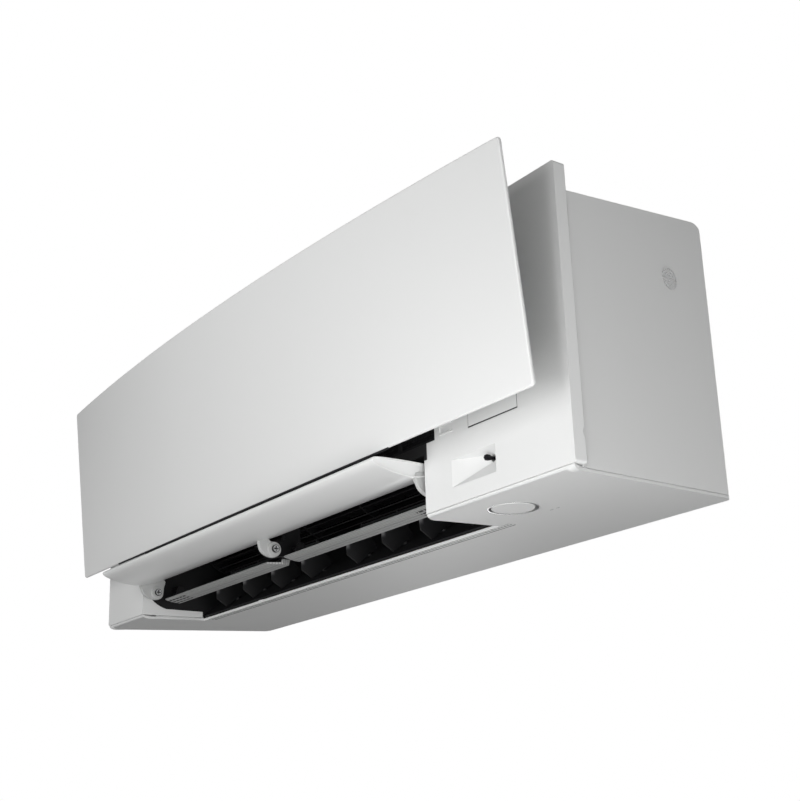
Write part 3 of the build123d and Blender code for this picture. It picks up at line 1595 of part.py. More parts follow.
with BuildPart() as electrical_cover:
    with BuildSketch(front_plane(box_front_y)):
        with Locations(box_centre):
            RectangleRounded(box_width, box_tall, 4)
    extrude(amount=box_wall)
    with BuildSketch(front_plane(box_front_y - box_wall)):
        with Locations(box_centre):
            with GridLocations(0, 14, 1, 9):
                SlotOverall(box_width - 40, 4)
    extrude(amount=-2 * box_wall, mode=Mode.SUBTRACT)
save(electrical_cover, "electrical_cover")

terminal_low_z = 186.0

with BuildPart() as terminal_block:
    with BuildSketch(front_plane(box_front_y - box_wall)):
        with Locations((box_centre[0], terminal_low_z + 28)):
            Rectangle(62, 22)
    extrude(amount=12)
    with BuildSketch(front_plane(box_front_y - box_wall - 12)):
        with Locations((box_centre[0], terminal_low_z + 28)):
            with GridLocations(14, 0, 4, 1):
                Circle(3.6)
    extrude(amount=-5, mode=Mode.SUBTRACT)
    with BuildSketch(front_plane(box_front_y - box_wall - 9)):
        with Locations((box_centre[0], terminal_low_z + 28)):
            with GridLocations(14, 0, 4, 1):
                Circle(3)
    extrude(amount=1.5)
save(terminal_block, "terminal_block")


# ---------------------------------------------------------------- refrigerant lines
gas_radius = 4.76
liquid_radius = 3.18
pipe_end_x = chassis_left + 52.0
gas_turn_x = motor_face_x + 20
liquid_turn_x = motor_face_x + 11
gas_path = ((pipe_end_x, -34, 38), (gas_turn_x, -34, 38), (gas_turn_x, -34, 176),
            (gas_turn_x, -77.2, 207.2), (motor_face_x, -77.2, 207.2))
liquid_path = ((pipe_end_x, -34, 61), (liquid_turn_x, -34, 61), (liquid_turn_x, -34, 150),
               (liquid_turn_x, -180, 206), (motor_face_x, -180, 206))

with BuildPart() as gas_pipe:
    with BuildLine():
        FilletPolyline(*gas_path, radius=9)
    with BuildSketch(Plane(origin=gas_path[0], x_dir=(0, 1, 0), z_dir=(1, 0, 0))):
        Circle(gas_radius)
    sweep(transition=Transition.ROUND)
save(gas_pipe, "gas_pipe")

with BuildPart() as liquid_pipe:
    with BuildLine():
        FilletPolyline(*liquid_path, radius=7)
    with BuildSketch(Plane(origin=liquid_path[0], x_dir=(0, 1, 0), z_dir=(1, 0, 0))):
        Circle(liquid_radius)
    sweep(transition=Transition.ROUND)
save(liquid_pipe, "liquid_pipe")

nut_length = 22.0
gas_nut = (pipe_end_x - 4, -34.0, 38.0, 11.0, gas_radius, 7.2)
liquid_nut = (pipe_end_x - 4, -34.0, 61.0, 8.5, liquid_radius, 5.3)


def flare_nut(x, y, z, across_half, pipe_radius, thread_radius):
    """Hexagon nut open to the left with its thread bore."""
    with BuildPart() as nut:
        with BuildSketch(side_plane(x - nut_length / 2)):
            with Locations((y, z)):
                RegularPolygon(across_half, 6, major_radius=False)
                Circle(pipe_radius + running, mode=Mode.SUBTRACT)
        extrude(amount=nut_length)
        with BuildSketch(side_plane(x - nut_length / 2)):
            with Locations((y, z)):
                Circle(thread_radius)
        extrude(amount=nut_length / 2 - 1, mode=Mode.SUBTRACT)
    return nut.part


with BuildPart() as gas_flare_nut:
    add(flare_nut(*gas_nut))
save(gas_flare_nut, "gas_flare_nut")

with BuildPart() as liquid_flare_nut:
    add(flare_nut(*liquid_nut))
save(liquid_flare_nut, "liquid_flare_nut")

sensor_capsule_radius = 3.0
with BuildPart() as coil_sensor:
    with BuildSketch(side_plane(chassis_right - 138)):
        with Locations((coil_lines["front_lower"][0][0] + coil_thickness / 2 + 3.0, 150)):
            Circle(sensor_capsule_radius)
    extrude(amount=28)
save(coil_sensor, "coil_sensor")
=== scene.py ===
import json
import math

import bmesh
import bpy
from mathutils import Matrix, Vector

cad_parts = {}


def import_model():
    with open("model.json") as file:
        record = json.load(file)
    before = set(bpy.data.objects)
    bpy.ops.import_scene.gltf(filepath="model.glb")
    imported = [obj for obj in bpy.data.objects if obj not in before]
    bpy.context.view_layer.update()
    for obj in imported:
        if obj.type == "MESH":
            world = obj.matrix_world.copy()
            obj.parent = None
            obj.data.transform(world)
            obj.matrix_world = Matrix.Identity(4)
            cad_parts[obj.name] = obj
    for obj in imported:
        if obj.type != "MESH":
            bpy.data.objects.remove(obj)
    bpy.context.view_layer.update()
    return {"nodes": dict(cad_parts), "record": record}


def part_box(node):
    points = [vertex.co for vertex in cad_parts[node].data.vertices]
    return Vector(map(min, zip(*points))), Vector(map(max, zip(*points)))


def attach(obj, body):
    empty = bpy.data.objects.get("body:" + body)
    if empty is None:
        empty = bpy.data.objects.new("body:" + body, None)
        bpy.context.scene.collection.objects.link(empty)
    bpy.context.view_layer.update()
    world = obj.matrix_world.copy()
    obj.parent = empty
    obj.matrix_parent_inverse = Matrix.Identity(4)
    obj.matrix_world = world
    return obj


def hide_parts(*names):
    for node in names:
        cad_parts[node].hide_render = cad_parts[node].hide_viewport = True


# %% [markdown]
# # A wall-mounted indoor unit, front panel forward
#
# The solid model gives every piece its place. This lesson gives the pieces their
# surfaces: satin white mouldings with soft edges, a dull black air path, packs of
# thin fins, filter nets of fine wire, and the plated and drawn metals inside.
# Everything is in metres. The origin is the middle of the wall holes, the wall is
# the plane Y = 0, and the room is towards -Y.

# %% The frame
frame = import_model()
nodes = frame["nodes"]

MM = 0.001
LIFT = -0.160          # the frame's lower edge lies this far from the origin
scene = bpy.context.scene


def world(x, y, z):
    """A point given in millimetres, with Z counted from the frame's lower edge."""
    return Vector((x * MM, y * MM, z * MM + LIFT))


print("frame loaded:", len(nodes), "pieces")

# %% [markdown]
# ## Node groups
#
# Moulded plastic is never quite flat. The tool leaves a fine grain, the wall sinks
# a little where ribs stand behind it, and every edge has a small radius. One group
# holds all of that and gives out a colour, a roughness and a normal, so each
# plastic only says how much of each it has. The alternative, a bump in each
# material, would be the same nodes copied many times.

# %% Helpers for nodes
def new_group(name, inputs, outputs, kind="ShaderNodeTree"):
    """An empty group with named sockets, its input node and its output node."""
    group = bpy.data.node_groups.new(name, kind)
    for label, socket_type, value in inputs:
        socket = group.interface.new_socket(label, in_out="INPUT", socket_type=socket_type)
        if value is not None:
            socket.default_value = value
    for label, socket_type in outputs:
        group.interface.new_socket(label, in_out="OUTPUT", socket_type=socket_type)
    return group, group.nodes.new("NodeGroupInput"), group.nodes.new("NodeGroupOutput")


def feed(tree, node, values):
    """Give a node's inputs their values, which are numbers, tuples or sockets."""
    for label, value in values.items():
        if isinstance(value, bpy.types.NodeSocket):
            tree.links.new(value, node.inputs[label])
        else:
            node.inputs[label].default_value = value


def added(tree, kind, values, **settings):
    """A new node with its settings, and with its inputs fed."""
    node = tree.nodes.new(kind)
    for name, setting in settings.items():
        setattr(node, name, setting)
    feed(tree, node, values)
    return node


def noise(tree, vector, scale, detail):
    """A noise texture."""
    return added(tree, "ShaderNodeTexNoise",
                 {"Vector": vector, "Scale": scale, "Detail": detail}).outputs["Fac"]


def calc(tree, operation, *values):
    """A Math node."""
    return added(tree, "ShaderNodeMath", dict(enumerate(values)),
                 operation=operation).outputs[0]


def brighten(tree, colour, factor):
    """A colour scaled by a factor."""
    return added(tree, "ShaderNodeVectorMath", {0: colour, "Scale": factor},
                 operation="SCALE").outputs[0]


def bump(tree, height, strength, distance, over=None):
    """The normal of a Bump node, over another normal if one is given."""
    values = {"Height": height, "Strength": strength, "Distance": distance}
    if over is not None:
        values["Normal"] = over
    return added(tree, "ShaderNodeBump", values).outputs["Normal"]


MIX_SOCKETS = {"RGBA": (6, 2), "VECTOR": (4, 1)}     # first input, result


def mixed(tree, factor, first, second, kind="RGBA"):
    """A Mix node between two colours or vectors."""
    start, result = MIX_SOCKETS[kind]
    return added(tree, "ShaderNodeMix", {"Factor": factor, start: first, start + 1: second},
                 data_type=kind).outputs[result]


def split_axes(tree, vector):
    """The X, Y and Z of a vector socket."""
    node = added(tree, "ShaderNodeSeparateXYZ", {0: vector})
    return [node.outputs[axis] for axis in "XYZ"]


def object_place(tree):
    """The Object coordinates."""
    return tree.nodes.new("ShaderNodeTexCoord").outputs["Object"]


# %% The moulded surface
SLOW_SCALE, PATCH_SCALE, SINK_SCALE = 7.0, 23.0, 11.0
SINK_STRENGTH, SINK_DEPTH, GRAIN_DEPTH = 0.25, 0.0006, 0.00015


def moulded_surface():
    """Grain, slow tone, sink marks and rounded edges of a moulded wall."""
    group, enter, leave = new_group(
        "moulded_surface",
        (("Color", "NodeSocketColor", (0.8, 0.8, 0.8, 1.0)),
         ("Tone", "NodeSocketFloat", 0.03), ("Grain", "NodeSocketFloat", 900.0),
         ("Depth", "NodeSocketFloat", 0.1), ("Roughness", "NodeSocketFloat", 0.45),
         ("Spread", "NodeSocketFloat", 0.06), ("Edge", "NodeSocketFloat", 0.0008)),
        (("Color", "NodeSocketColor"), ("Roughness", "NodeSocketFloat"),
         ("Normal", "NodeSocketVector")))
    given, place = enter.outputs, object_place(group)
    slow = calc(group, "SUBTRACT", noise(group, place, SLOW_SCALE, 3.0), 0.5)
    factor = calc(group, "MULTIPLY_ADD", slow, given["Tone"], 1.0)
    patchy = calc(group, "SUBTRACT", noise(group, place, PATCH_SCALE, 4.0), 0.5)
    edge = added(group, "ShaderNodeBevel", {"Radius": given["Edge"]}, samples=4)
    sink = bump(group, noise(group, place, SINK_SCALE, 1.0), SINK_STRENGTH, SINK_DEPTH,
                edge.outputs["Normal"])
    grain = noise(group, place, given["Grain"], 3.0)
    feed(group, leave, {
        "Color": brighten(group, given["Color"], factor),
        "Roughness": calc(group, "MULTIPLY_ADD", patchy, given["Spread"],
                          given["Roughness"]),
        "Normal": bump(group, grain, given["Depth"], GRAIN_DEPTH, sink)})
    return group


MOULDED = moulded_surface()

# %% [markdown]
# Sheet, tube and turned metal carry the marks of how they were made: long lines
# from the roll or the die. The same noise does all three, squeezed along one axis
# by a Mapping node, so the group takes the squeeze as a vector.

# %% The worked metal
LINE_SCALE, STAIN_SCALE = 5.0, 40.0
STREAK_TONE, STREAK_ROUGH, LINE_DEPTH = 0.16, 0.18, 0.0002


def worked_metal():
    """Tool lines along one direction, with a stain that varies slowly."""
    group, enter, leave = new_group(
        "worked_metal",
        (("Color", "NodeSocketColor", (0.6, 0.6, 0.6, 1.0)),
         ("Stain", "NodeSocketColor", (0.5, 0.5, 0.5, 1.0)),
         ("Stained", "NodeSocketFloat", 0.3),
         ("Lines", "NodeSocketVector", (2.0, 300.0, 300.0)),
         ("Depth", "NodeSocketFloat", 0.15), ("Roughness", "NodeSocketFloat", 0.35)),
        (("Color", "NodeSocketColor"), ("Roughness", "NodeSocketFloat"),
         ("Normal", "NodeSocketVector")))
    given, place = enter.outputs, object_place(group)
    mapping = added(group, "ShaderNodeMapping", {"Vector": place, "Scale": given["Lines"]})
    lines = noise(group, mapping.outputs["Vector"], LINE_SCALE, 4.0)
    cloudy = calc(group, "MULTIPLY", noise(group, place, STAIN_SCALE, 5.0),
                  given["Stained"])
    stained = mixed(group, cloudy, given["Color"], given["Stain"])
    swing = calc(group, "SUBTRACT", lines, 0.5)
    streak = calc(group, "MULTIPLY_ADD", swing, STREAK_TONE, 1.0)
    feed(group, leave, {
        "Color": brighten(group, stained, streak),
        "Roughness": calc(group, "MULTIPLY_ADD", swing, STREAK_ROUGH, given["Roughness"]),
        "Normal": bump(group, lines, given["Depth"], LINE_DEPTH)})
    return group


METAL = worked_metal()
print("node groups:", MOULDED.name, METAL.name)

# %% [markdown]
# ## Materials
#
# Every material holds its own Principled shader. Two makers are enough, one for
# mouldings and one for metals, because these finishes differ only in numbers.

# %% Makers of materials
def with_group(name, group, values, linked):
    """A material whose Principled shader is fed by one node group."""
    material = bpy.data.materials.new(name)
    material.use_nodes = True
    tree = material.node_tree
    node = added(tree, "ShaderNodeGroup", values, node_tree=group, location=(-320, 120))
    feed(tree, tree.nodes["Principled BSDF"],
         {target: node.outputs[label] for label, target in linked})
    return material


LINKED = (("Color", "Base Color"), ("Roughness", "Roughness"), ("Normal", "Normal"))


def plastic(name, colour, roughness, tone=0.03, grain=900.0, depth=0.1, spread=0.06,
            edge=0.0008, coat=0.0, level=0.5):
    """A moulded plastic or rubber."""
    material = with_group(name, MOULDED, {
        "Color": (*colour, 1.0), "Tone": tone, "Grain": grain, "Depth": depth,
        "Roughness": roughness, "Spread": spread, "Edge": edge}, LINKED)
    tree = material.node_tree
    feed(tree, tree.nodes["Principled BSDF"], {
        "Coat Weight": coat, "Coat Roughness": 0.12, "Specular IOR Level": level})
    return material


def metal(name, colour, stain, roughness, lines, stained=0.3, depth=0.15):
    """A plated, drawn or turned metal."""
    material = with_group(name, METAL, {
        "Color": (*colour, 1.0), "Stain": (*stain, 1.0), "Stained": stained,
        "Lines": lines, "Depth": depth, "Roughness": roughness}, LINKED)
    material.node_tree.nodes["Principled BSDF"].inputs["Metallic"].default_value = 1.0
    return material


# %% The finishes
MATERIALS = {
    "panel_white": plastic("panel_white", (0.80, 0.805, 0.80), 0.36, tone=0.015,
                           grain=1400.0, depth=0.03, spread=0.03, edge=0.0012, coat=0.25),
    "body_white": plastic("body_white", (0.76, 0.765, 0.76), 0.44, tone=0.02, depth=0.08),
    "black_plastic": plastic("black_plastic", (0.010, 0.010, 0.011), 0.55, tone=0.2,
                             depth=0.2, edge=0.0005, level=0.3),
    "filter_black": plastic("filter_black", (0.016, 0.016, 0.018), 0.6, tone=0.2,
                            edge=0.0003, level=0.35),
    "grey_plastic": plastic("grey_plastic", (0.33, 0.34, 0.35), 0.5, tone=0.05),
    "grey_rubber": plastic("grey_rubber", (0.24, 0.24, 0.245), 0.7, tone=0.1, grain=400.0,
                           depth=0.3),
    "zinc_steel": metal("zinc_steel", (0.56, 0.57, 0.59), (0.42, 0.43, 0.46), 0.42,
                        (60.0, 60.0, 60.0), stained=0.8, depth=0.05),
    "steel": metal("steel", (0.55, 0.55, 0.56), (0.42, 0.42, 0.43), 0.3,
                   (300.0, 6.0, 6.0)),
    "fin_aluminium": metal("fin_aluminium", (0.66, 0.68, 0.70), (0.52, 0.54, 0.56), 0.38,
                           (900.0, 4.0, 4.0)),
    "copper": metal("copper", (0.72, 0.36, 0.20), (0.42, 0.20, 0.13), 0.3,
                    (3.0, 260.0, 260.0), stained=0.7),
    "brass_nut": metal("brass_nut", (0.76, 0.57, 0.26), (0.55, 0.40, 0.18), 0.28,
                       (600.0, 5.0, 5.0), stained=0.4),
    "lens_dark": plastic("lens_dark", (0.008, 0.007, 0.009), 0.35, tone=0.3, depth=0.0,
                         spread=0.02, edge=0.0004, coat=0.0, level=0.12),
    "lamp_clear": plastic("lamp_clear", (0.60, 0.62, 0.62), 0.22, depth=0.04,
                          edge=0.0002, coat=0.6),
    "bright_ring": metal("bright_ring", (0.86, 0.865, 0.87), (0.74, 0.75, 0.76), 0.2,
                         (4.0, 4.0, 500.0), stained=0.2, depth=0.04),
}

# %% [markdown]
# The circuit board needs more: a green lacquer with copper paths under it, and
# parts of several colours on top. The paths are a brick pattern with very thin
# bricks, and the parts are picked out by how far they stand off the board.

# %% The circuit board's finish
PARTS_FACE_Y = -0.0459       # what stands off farther than this is a part


def board_material():
    """Lacquered board with paths, and dark, blue and pale parts by place."""
    material = with_group("board_green", MOULDED, {
        "Color": (0.02, 0.13, 0.06, 1.0), "Tone": 0.15, "Grain": 700.0, "Depth": 0.1,
        "Roughness": 0.4, "Spread": 0.1, "Edge": 0.0003}, LINKED[1:])
    tree = material.node_tree
    place = object_place(tree)
    turn = added(tree, "ShaderNodeMapping",
                 {"Vector": place, "Rotation": (math.radians(90), 0, 0)})
    paths = added(tree, "ShaderNodeTexBrick", {
        "Vector": turn.outputs["Vector"], "Scale": 60.0, "Mortar Size": 0.035,
        "Color1": (0.018, 0.12, 0.055, 1.0), "Color2": (0.025, 0.16, 0.07, 1.0),
        "Mortar": (0.06, 0.28, 0.12, 1.0)})
    stands_off = calc(tree, "LESS_THAN", split_axes(tree, place)[1], PARTS_FACE_Y)
    cells = added(tree, "ShaderNodeTexVoronoi", {"Vector": place, "Scale": 26.0})
    ramp = added(tree, "ShaderNodeValToRGB", {"Fac": cells.outputs["Color"]})
    ramp.color_ramp.interpolation = "CONSTANT"
    ramp.color_ramp.elements[0].color = (0.015, 0.015, 0.017, 1.0)
    ramp.color_ramp.elements[1].position = 0.62
    ramp.color_ramp.elements[1].color = (0.03, 0.06, 0.22, 1.0)
    pale = ramp.color_ramp.elements.new(0.82)
    pale.color = (0.45, 0.42, 0.34, 1.0)
    colour = mixed(tree, stands_off, paths.outputs["Color"], ramp.outputs["Color"])
    tree.links.new(colour, tree.nodes["Principled BSDF"].inputs["Base Color"])
    return material


MATERIALS["board_green"] = board_material()

# %% [markdown]
# Some pieces carry marks that are finer than their solids. The blades have fine
# ridges, rows of small slots near their outer ends, and painted shade on their ears.
# The cover's grooves hold painted shadow, the strip between inlet and outlet carries
# painted shade, the service cover has a dark joint, the vanes have a painted
# highlight at their front edge, and the screws have painted shade in their cross and
# round their edge. Each of these is a mask from the place on the piece, mixed into
# the same moulded surface as before.

# %% Masks from the place on a piece
def place_axes(tree):
    """The X, Y and Z of the Object coordinates in millimetres."""
    return [calc(tree, "MULTIPLY", axis, 1 / MM)
            for axis in split_axes(tree, object_place(tree))]


def distance(tree, value, middle):
    """How far a value lies from its middle."""
    return calc(tree, "ABSOLUTE", calc(tree, "SUBTRACT", value, middle))


def fold(tree, operation, *values):
    """Several values taken together by one operation."""
    result = values[0]
    for value in values[1:]:
        result = calc(tree, operation, result, value)
    return result


def band(tree, value, middle, half, soft=0.15):
    """1 where value lies within half of middle, with soft ends."""
    return added(tree, "ShaderNodeMapRange", {
        "Value": distance(tree, value, middle), "From Min": half - soft,
        "From Max": half + soft, "To Min": 1.0, "To Max": 0.0},
        interpolation_type="SMOOTHSTEP").outputs["Result"]


def zone(**bands):
    """A mask of the space inside bands (middle, half, soft) of some of the axes."""
    def mask(tree, x, y, z):
        axes = {"x": x, "y": y, "z": z}
        return fold(tree, "MULTIPLY", *(band(tree, axes[axis], *values)
                                        for axis, values in bands.items()))
    return mask


def marked(name, colour, mark, roughness, mask):
    """A moulded plastic whose colour changes to mark where the mask function says."""
    material = plastic(name, colour, roughness)
    tree = material.node_tree
    colour = mixed(tree, mask(tree, *place_axes(tree)), (*colour, 1.0), (*mark, 1.0))
    group = [node for node in tree.nodes if node.type == "GROUP"][0]
    tree.links.new(colour, group.inputs["Color"])
    return material


# %% The masks. PINGPONG folds a length into a wave of the given half step
RIDGE_FOLD, RIDGE_DEPTH = 1.25, 0.44
SLOTS_FROM_END, SLOTS_HALF = 42.0, 34.0
SLOT_FOLD, SLOT_HALF = 5.0, 3.9
ROWS_Y, ROWS_HALF = -207.0, 8.0
ROW_FOLD, ROW_HALF = 3.0, 1.6
EARS_ABOVE = -136.0


def blade_mask(outer):
    """Fine ridges along a blade, slots in rows at its outer end, painted shade on the ears
    above it.
    """
    def mask(tree, x, y, z):
        ridge = calc(tree, "MULTIPLY", calc(tree, "PINGPONG", y, RIDGE_FOLD), RIDGE_DEPTH)
        row = calc(tree, "PINGPONG", calc(tree, "SUBTRACT", y, ROWS_Y), ROW_FOLD)
        slots = fold(tree, "MULTIPLY",
                     band(tree, distance(tree, x, outer), SLOTS_FROM_END, SLOTS_HALF, 0.3),
                     band(tree, calc(tree, "PINGPONG", x, SLOT_FOLD), 0.0, SLOT_HALF, 0.2),
                     band(tree, row, 0.0, ROW_HALF, 0.2),
                     band(tree, y, ROWS_Y, ROWS_HALF, 0.3))
        # painted shade: everything above EARS_ABOVE, the blade's ears up in the dark outlet
        ears = calc(tree, "GREATER_THAN", z, EARS_ABOVE)
        return fold(tree, "MAXIMUM", ridge, slots, ears)
    return mask


GROOVES = ((-148.7, 0.7), (-144.7, 1.8), (-139.9, 1.5))     # middle and half along Y
GROOVE_SPAN = (-44.5, 332.0, 0.5)


def groove_mask(tree, x, y, z):
    """Shadow between the beads behind the outlet lip."""
    lines = [band(tree, y, middle, half, 0.2) for middle, half in GROOVES]
    return calc(tree, "MULTIPLY", fold(tree, "MAXIMUM", *lines), band(tree, x, *GROOVE_SPAN))


SERVICE_FACE = zone(x=(387.0, 37.3, 0.2), z=(-41.0, 45.7, 0.2))


def joint_mask(tree, x, y, z):
    """A dark joint round the service cover."""
    return calc(tree, "SUBTRACT", 1.0, SERVICE_FACE(tree, x, y, z))


HEAD_MIDDLE = (-230.0, -130.0)
CROSS_HALF, CROSS_REACH, HEAD_EDGE = 0.75, 3.1, 4.1


def recess_mask(tree, x, y, z):
    """Painted shade in the cross sunk in both screw heads, and round their edge."""
    along = [distance(tree, value, middle) for value, middle in zip((y, z), HEAD_MIDDLE)]
    narrow = calc(tree, "LESS_THAN", calc(tree, "MINIMUM", *along), CROSS_HALF)
    short = calc(tree, "LESS_THAN", calc(tree, "MAXIMUM", *along), CROSS_REACH)
    squares = [calc(tree, "MULTIPLY", value, value) for value in along]
    rim = calc(tree, "GREATER_THAN", calc(tree, "ADD", *squares), HEAD_EDGE ** 2)
    return calc(tree, "MAXIMUM", calc(tree, "MULTIPLY", narrow, short), rim)


# %% The marked finishes: name, pieces, colour, mark, roughness and mask
WHITE, BLADE_GREY_AND_SHADE = (0.76, 0.765, 0.76), (0.44, 0.445, 0.44)
BLACK, BLADE_MARK_AND_SHADE = (0.014, 0.014, 0.015), (0.012, 0.012, 0.013)
VANES = tuple(f"vane_{side}_{number}" for side in ("left", "right") for number in range(1, 5))
MARKS = (
    ("cover_white", ("bottom_cover",), WHITE, (0.03, 0.03, 0.03), 0.44, groove_mask),
    # frame: painted shade, black on the strip between inlet and outlet
    ("frame_white", ("front_frame",), WHITE, BLACK, 0.44,
     zone(x=(-51.0, 331.0, 0.4), z=(-93.0, 10.5, 0.4), y=(-235.0, 16.0, 0.4))),
    ("service_white", ("service_cover",), WHITE, (0.012, 0.012, 0.012), 0.44, joint_mask),
    # blades: a grey that is partly their black-and-white texture and partly painted shade
    ("blade_left_ridged", ("blade_left",), BLADE_GREY_AND_SHADE, BLADE_MARK_AND_SHADE, 0.5, blade_mask(-400.0)),
    ("blade_right_ridged", ("blade_right",), BLADE_GREY_AND_SHADE, BLADE_MARK_AND_SHADE, 0.5, blade_mask(288.0)),
    # vanes: black, with a painted highlight in paler grey along their front edge
    ("vane_black", VANES, BLACK, (0.2, 0.2, 0.205), 0.5,
     zone(y=(-163.0, 4.0, 2.5), z=(-124.0, 9.0, 3.0))),
    # screws: painted shade, black in the cross recess and round the head's edge
    ("plated_screw", ("hinge_screws",), (0.50, 0.505, 0.51), (0.008, 0.008, 0.008), 0.3,
     recess_mask),
)
MARKED = {}
for finish, pieces, colour, mark, roughness, mask in MARKS:
    material = marked(finish, colour, mark, roughness, mask)
    MARKED.update({piece: material for piece in pieces})

UNDERSIDE_NORMAL = (0.0, 0.034, -1.0)
ROLLED_EDGE = zone(y=(-235.0, 10.5, 1.5), x=(0.0, 485.0, 3.0))
FACING_ENDS = 0.3            # what faces an end more than this keeps its own normal


def level_front(material):
    """Keep the cover's rolled front edge as even in tone as the underside behind it."""
    tree = material.node_tree
    turn = added(tree, "ShaderNodeVectorTransform", {0: UNDERSIDE_NORMAL},
                 vector_type="NORMAL", convert_from="OBJECT", convert_to="WORLD")
    normal = tree.nodes.new("ShaderNodeTexCoord").outputs["Normal"]
    sideways = calc(tree, "ABSOLUTE", split_axes(tree, normal)[0])
    amount = calc(tree, "MULTIPLY", ROLLED_EDGE(tree, *place_axes(tree)),
                  calc(tree, "LESS_THAN", sideways, FACING_ENDS))
    shader = tree.nodes["Principled BSDF"]
    before = shader.inputs["Normal"].links[0].from_socket
    tree.links.new(mixed(tree, amount, before, turn.outputs[0], "VECTOR"),
                   shader.inputs["Normal"])


level_front(MARKED["bottom_cover"])

for part in frame["record"]["subparts"]:
    finish = MARKED.get(part["node"], MATERIALS[part["material_slot"]])
    for material_slot in nodes[part["node"]].material_slots:
        material_slot.material = finish
print("materials:", len(MATERIALS), "marked:", len(MARKED))

# %% [markdown]
# ## A finished piece
#
# A piece made in mesh code is welded, its faces are turned outwards, and then it
# takes its material, its body and the solid that it stands for.

# %% Helpers for meshes
def mesh_from(shape, name):
    """The mesh of a finished shape."""
    mesh = bpy.data.meshes.new(name)
    shape.to_mesh(mesh)
    shape.free()
    return mesh


def bridge(shape, loops):
    """Faces between neighbouring loops of equal length."""
    for first, second in zip(loops, loops[1:]):
        for k in range(len(first)):
            n = (k + 1) % len(first)
            shape.faces.new((first[k], first[n], second[n], second[k]))


def sweep(shape, rings, capped=True):
    """Faces through rings of points of equal length, closed at both ends if capped."""
    loops = [[shape.verts.new(point) for point in ring] for ring in rings]
    bridge(shape, loops)
    if capped:
        shape.faces.new(loops[0])
        shape.faces.new(loops[-1])


def swept(name, rings, capped=True):
    """A mesh of its own through rings of points."""
    shape = bmesh.new()
    sweep(shape, rings, capped)
    return mesh_from(shape, name)


def circle(radius, count):
    """Points round a circle, as pairs of across and up."""
    turns = [2 * math.pi * k / count for k in range(count)]
    return [(radius * math.cos(turn), radius * math.sin(turn)) for turn in turns]


def joined(name, meshes):
    """One mesh from several."""
    shape = bmesh.new()
    for mesh in meshes:
        shape.from_mesh(mesh)
    return mesh_from(shape, name)


# %% Finishing a piece
def finish_piece(name, mesh, finish, body, *stands_for, smooth_angle=30.0):
    """Turn a mesh into a piece of the object."""
    shape = bmesh.new()
    shape.from_mesh(mesh)
    bmesh.ops.remove_doubles(shape, verts=shape.verts, dist=1e-6)
    bmesh.ops.recalc_face_normals(shape, faces=shape.faces)
    shape.to_mesh(mesh)
    shape.free()
    mesh.materials.clear()
    mesh.materials.append(MATERIALS[finish])
    mesh.set_sharp_from_angle(angle=math.radians(smooth_angle))
    piece = bpy.data.objects.new(name, mesh)
    scene.collection.objects.link(piece)
    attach(piece, body)
    if stands_for:
        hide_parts(*stands_for)
    print(name, "faces:", len(mesh.polygons))
    return piece


# %% [markdown]
# ## The front panel
#
# The panel is one large moulding, nearly flat along its lower edge and bowed 28 mm
# along its upper edge. Its face carries the whole picture, so it is made as a fine
# grid on the true circle arcs, with a rim that rolls over in a 1.6 mm radius. A
# bevel on the flat solid would leave the arcs faceted.

# %% The panel's surface
PANEL_HALF = 495.3
PANEL_TALL = 246.2
PANEL_TILT = math.radians(5.45)
PANEL_FRONT = -288.7
PANEL_LOW = 66.3
PANEL_DEEP = 4.0
LOW_BOW, ADDED_BOW = 1.8, 26.1
CORNER = 4.0


def panel_place(x, height, depth):
    """A point of the panel by place across, height up the face and depth behind it."""
    bow = LOW_BOW + ADDED_BOW * height / PANEL_TALL
    radius = (PANEL_HALF ** 2 + bow ** 2) / (2 * bow)
    depth = depth - (math.sqrt(radius ** 2 - x ** 2) - (radius - bow))
    y = PANEL_FRONT - height * math.sin(PANEL_TILT) + depth * math.cos(PANEL_TILT)
    z = PANEL_LOW + height * math.cos(PANEL_TILT) + depth * math.sin(PANEL_TILT)
    return world(x, y, z)


def edge_steps(half, count):
    """Even steps from -half to half with closer ones near both ends."""
    inner = half - CORNER
    middle = [-inner + 2 * inner * i / count for i in range(count + 1)]
    near_end = [inner + CORNER * math.sin(math.radians(a)) for a in (22.5, 45, 67.5, 90)]
    return [-v for v in reversed(near_end)] + middle + near_end


def pulled_in(across, up, inset):
    """A grid point moved in from the rim by inset and round the corners."""
    half_x, half_z = PANEL_HALF - inset, PANEL_TALL / 2 - inset
    x = across * half_x / PANEL_HALF
    z = up * half_z / (PANEL_TALL / 2)
    over_x, over_z = abs(x) - (half_x - CORNER), abs(z) - (half_z - CORNER)
    if over_x > 0 and over_z > 0:
        reach = max(over_x, over_z) / math.hypot(over_x, over_z)
        x = math.copysign(half_x - CORNER + over_x * reach, x)
        z = math.copysign(half_z - CORNER + over_z * reach, z)
    return x, z + PANEL_TALL / 2


# %% The panel's mesh
GRID_ACROSS, GRID_UP = 90, 24
FRONT_INSET, BACK_INSET = 1.6, 1.3
RIM_ROLL = ((0.85, 0.2), (0.3, 0.65), (0.05, 1.2), (0.0, 2.0), (0.1, 2.9), (0.5, 3.6))


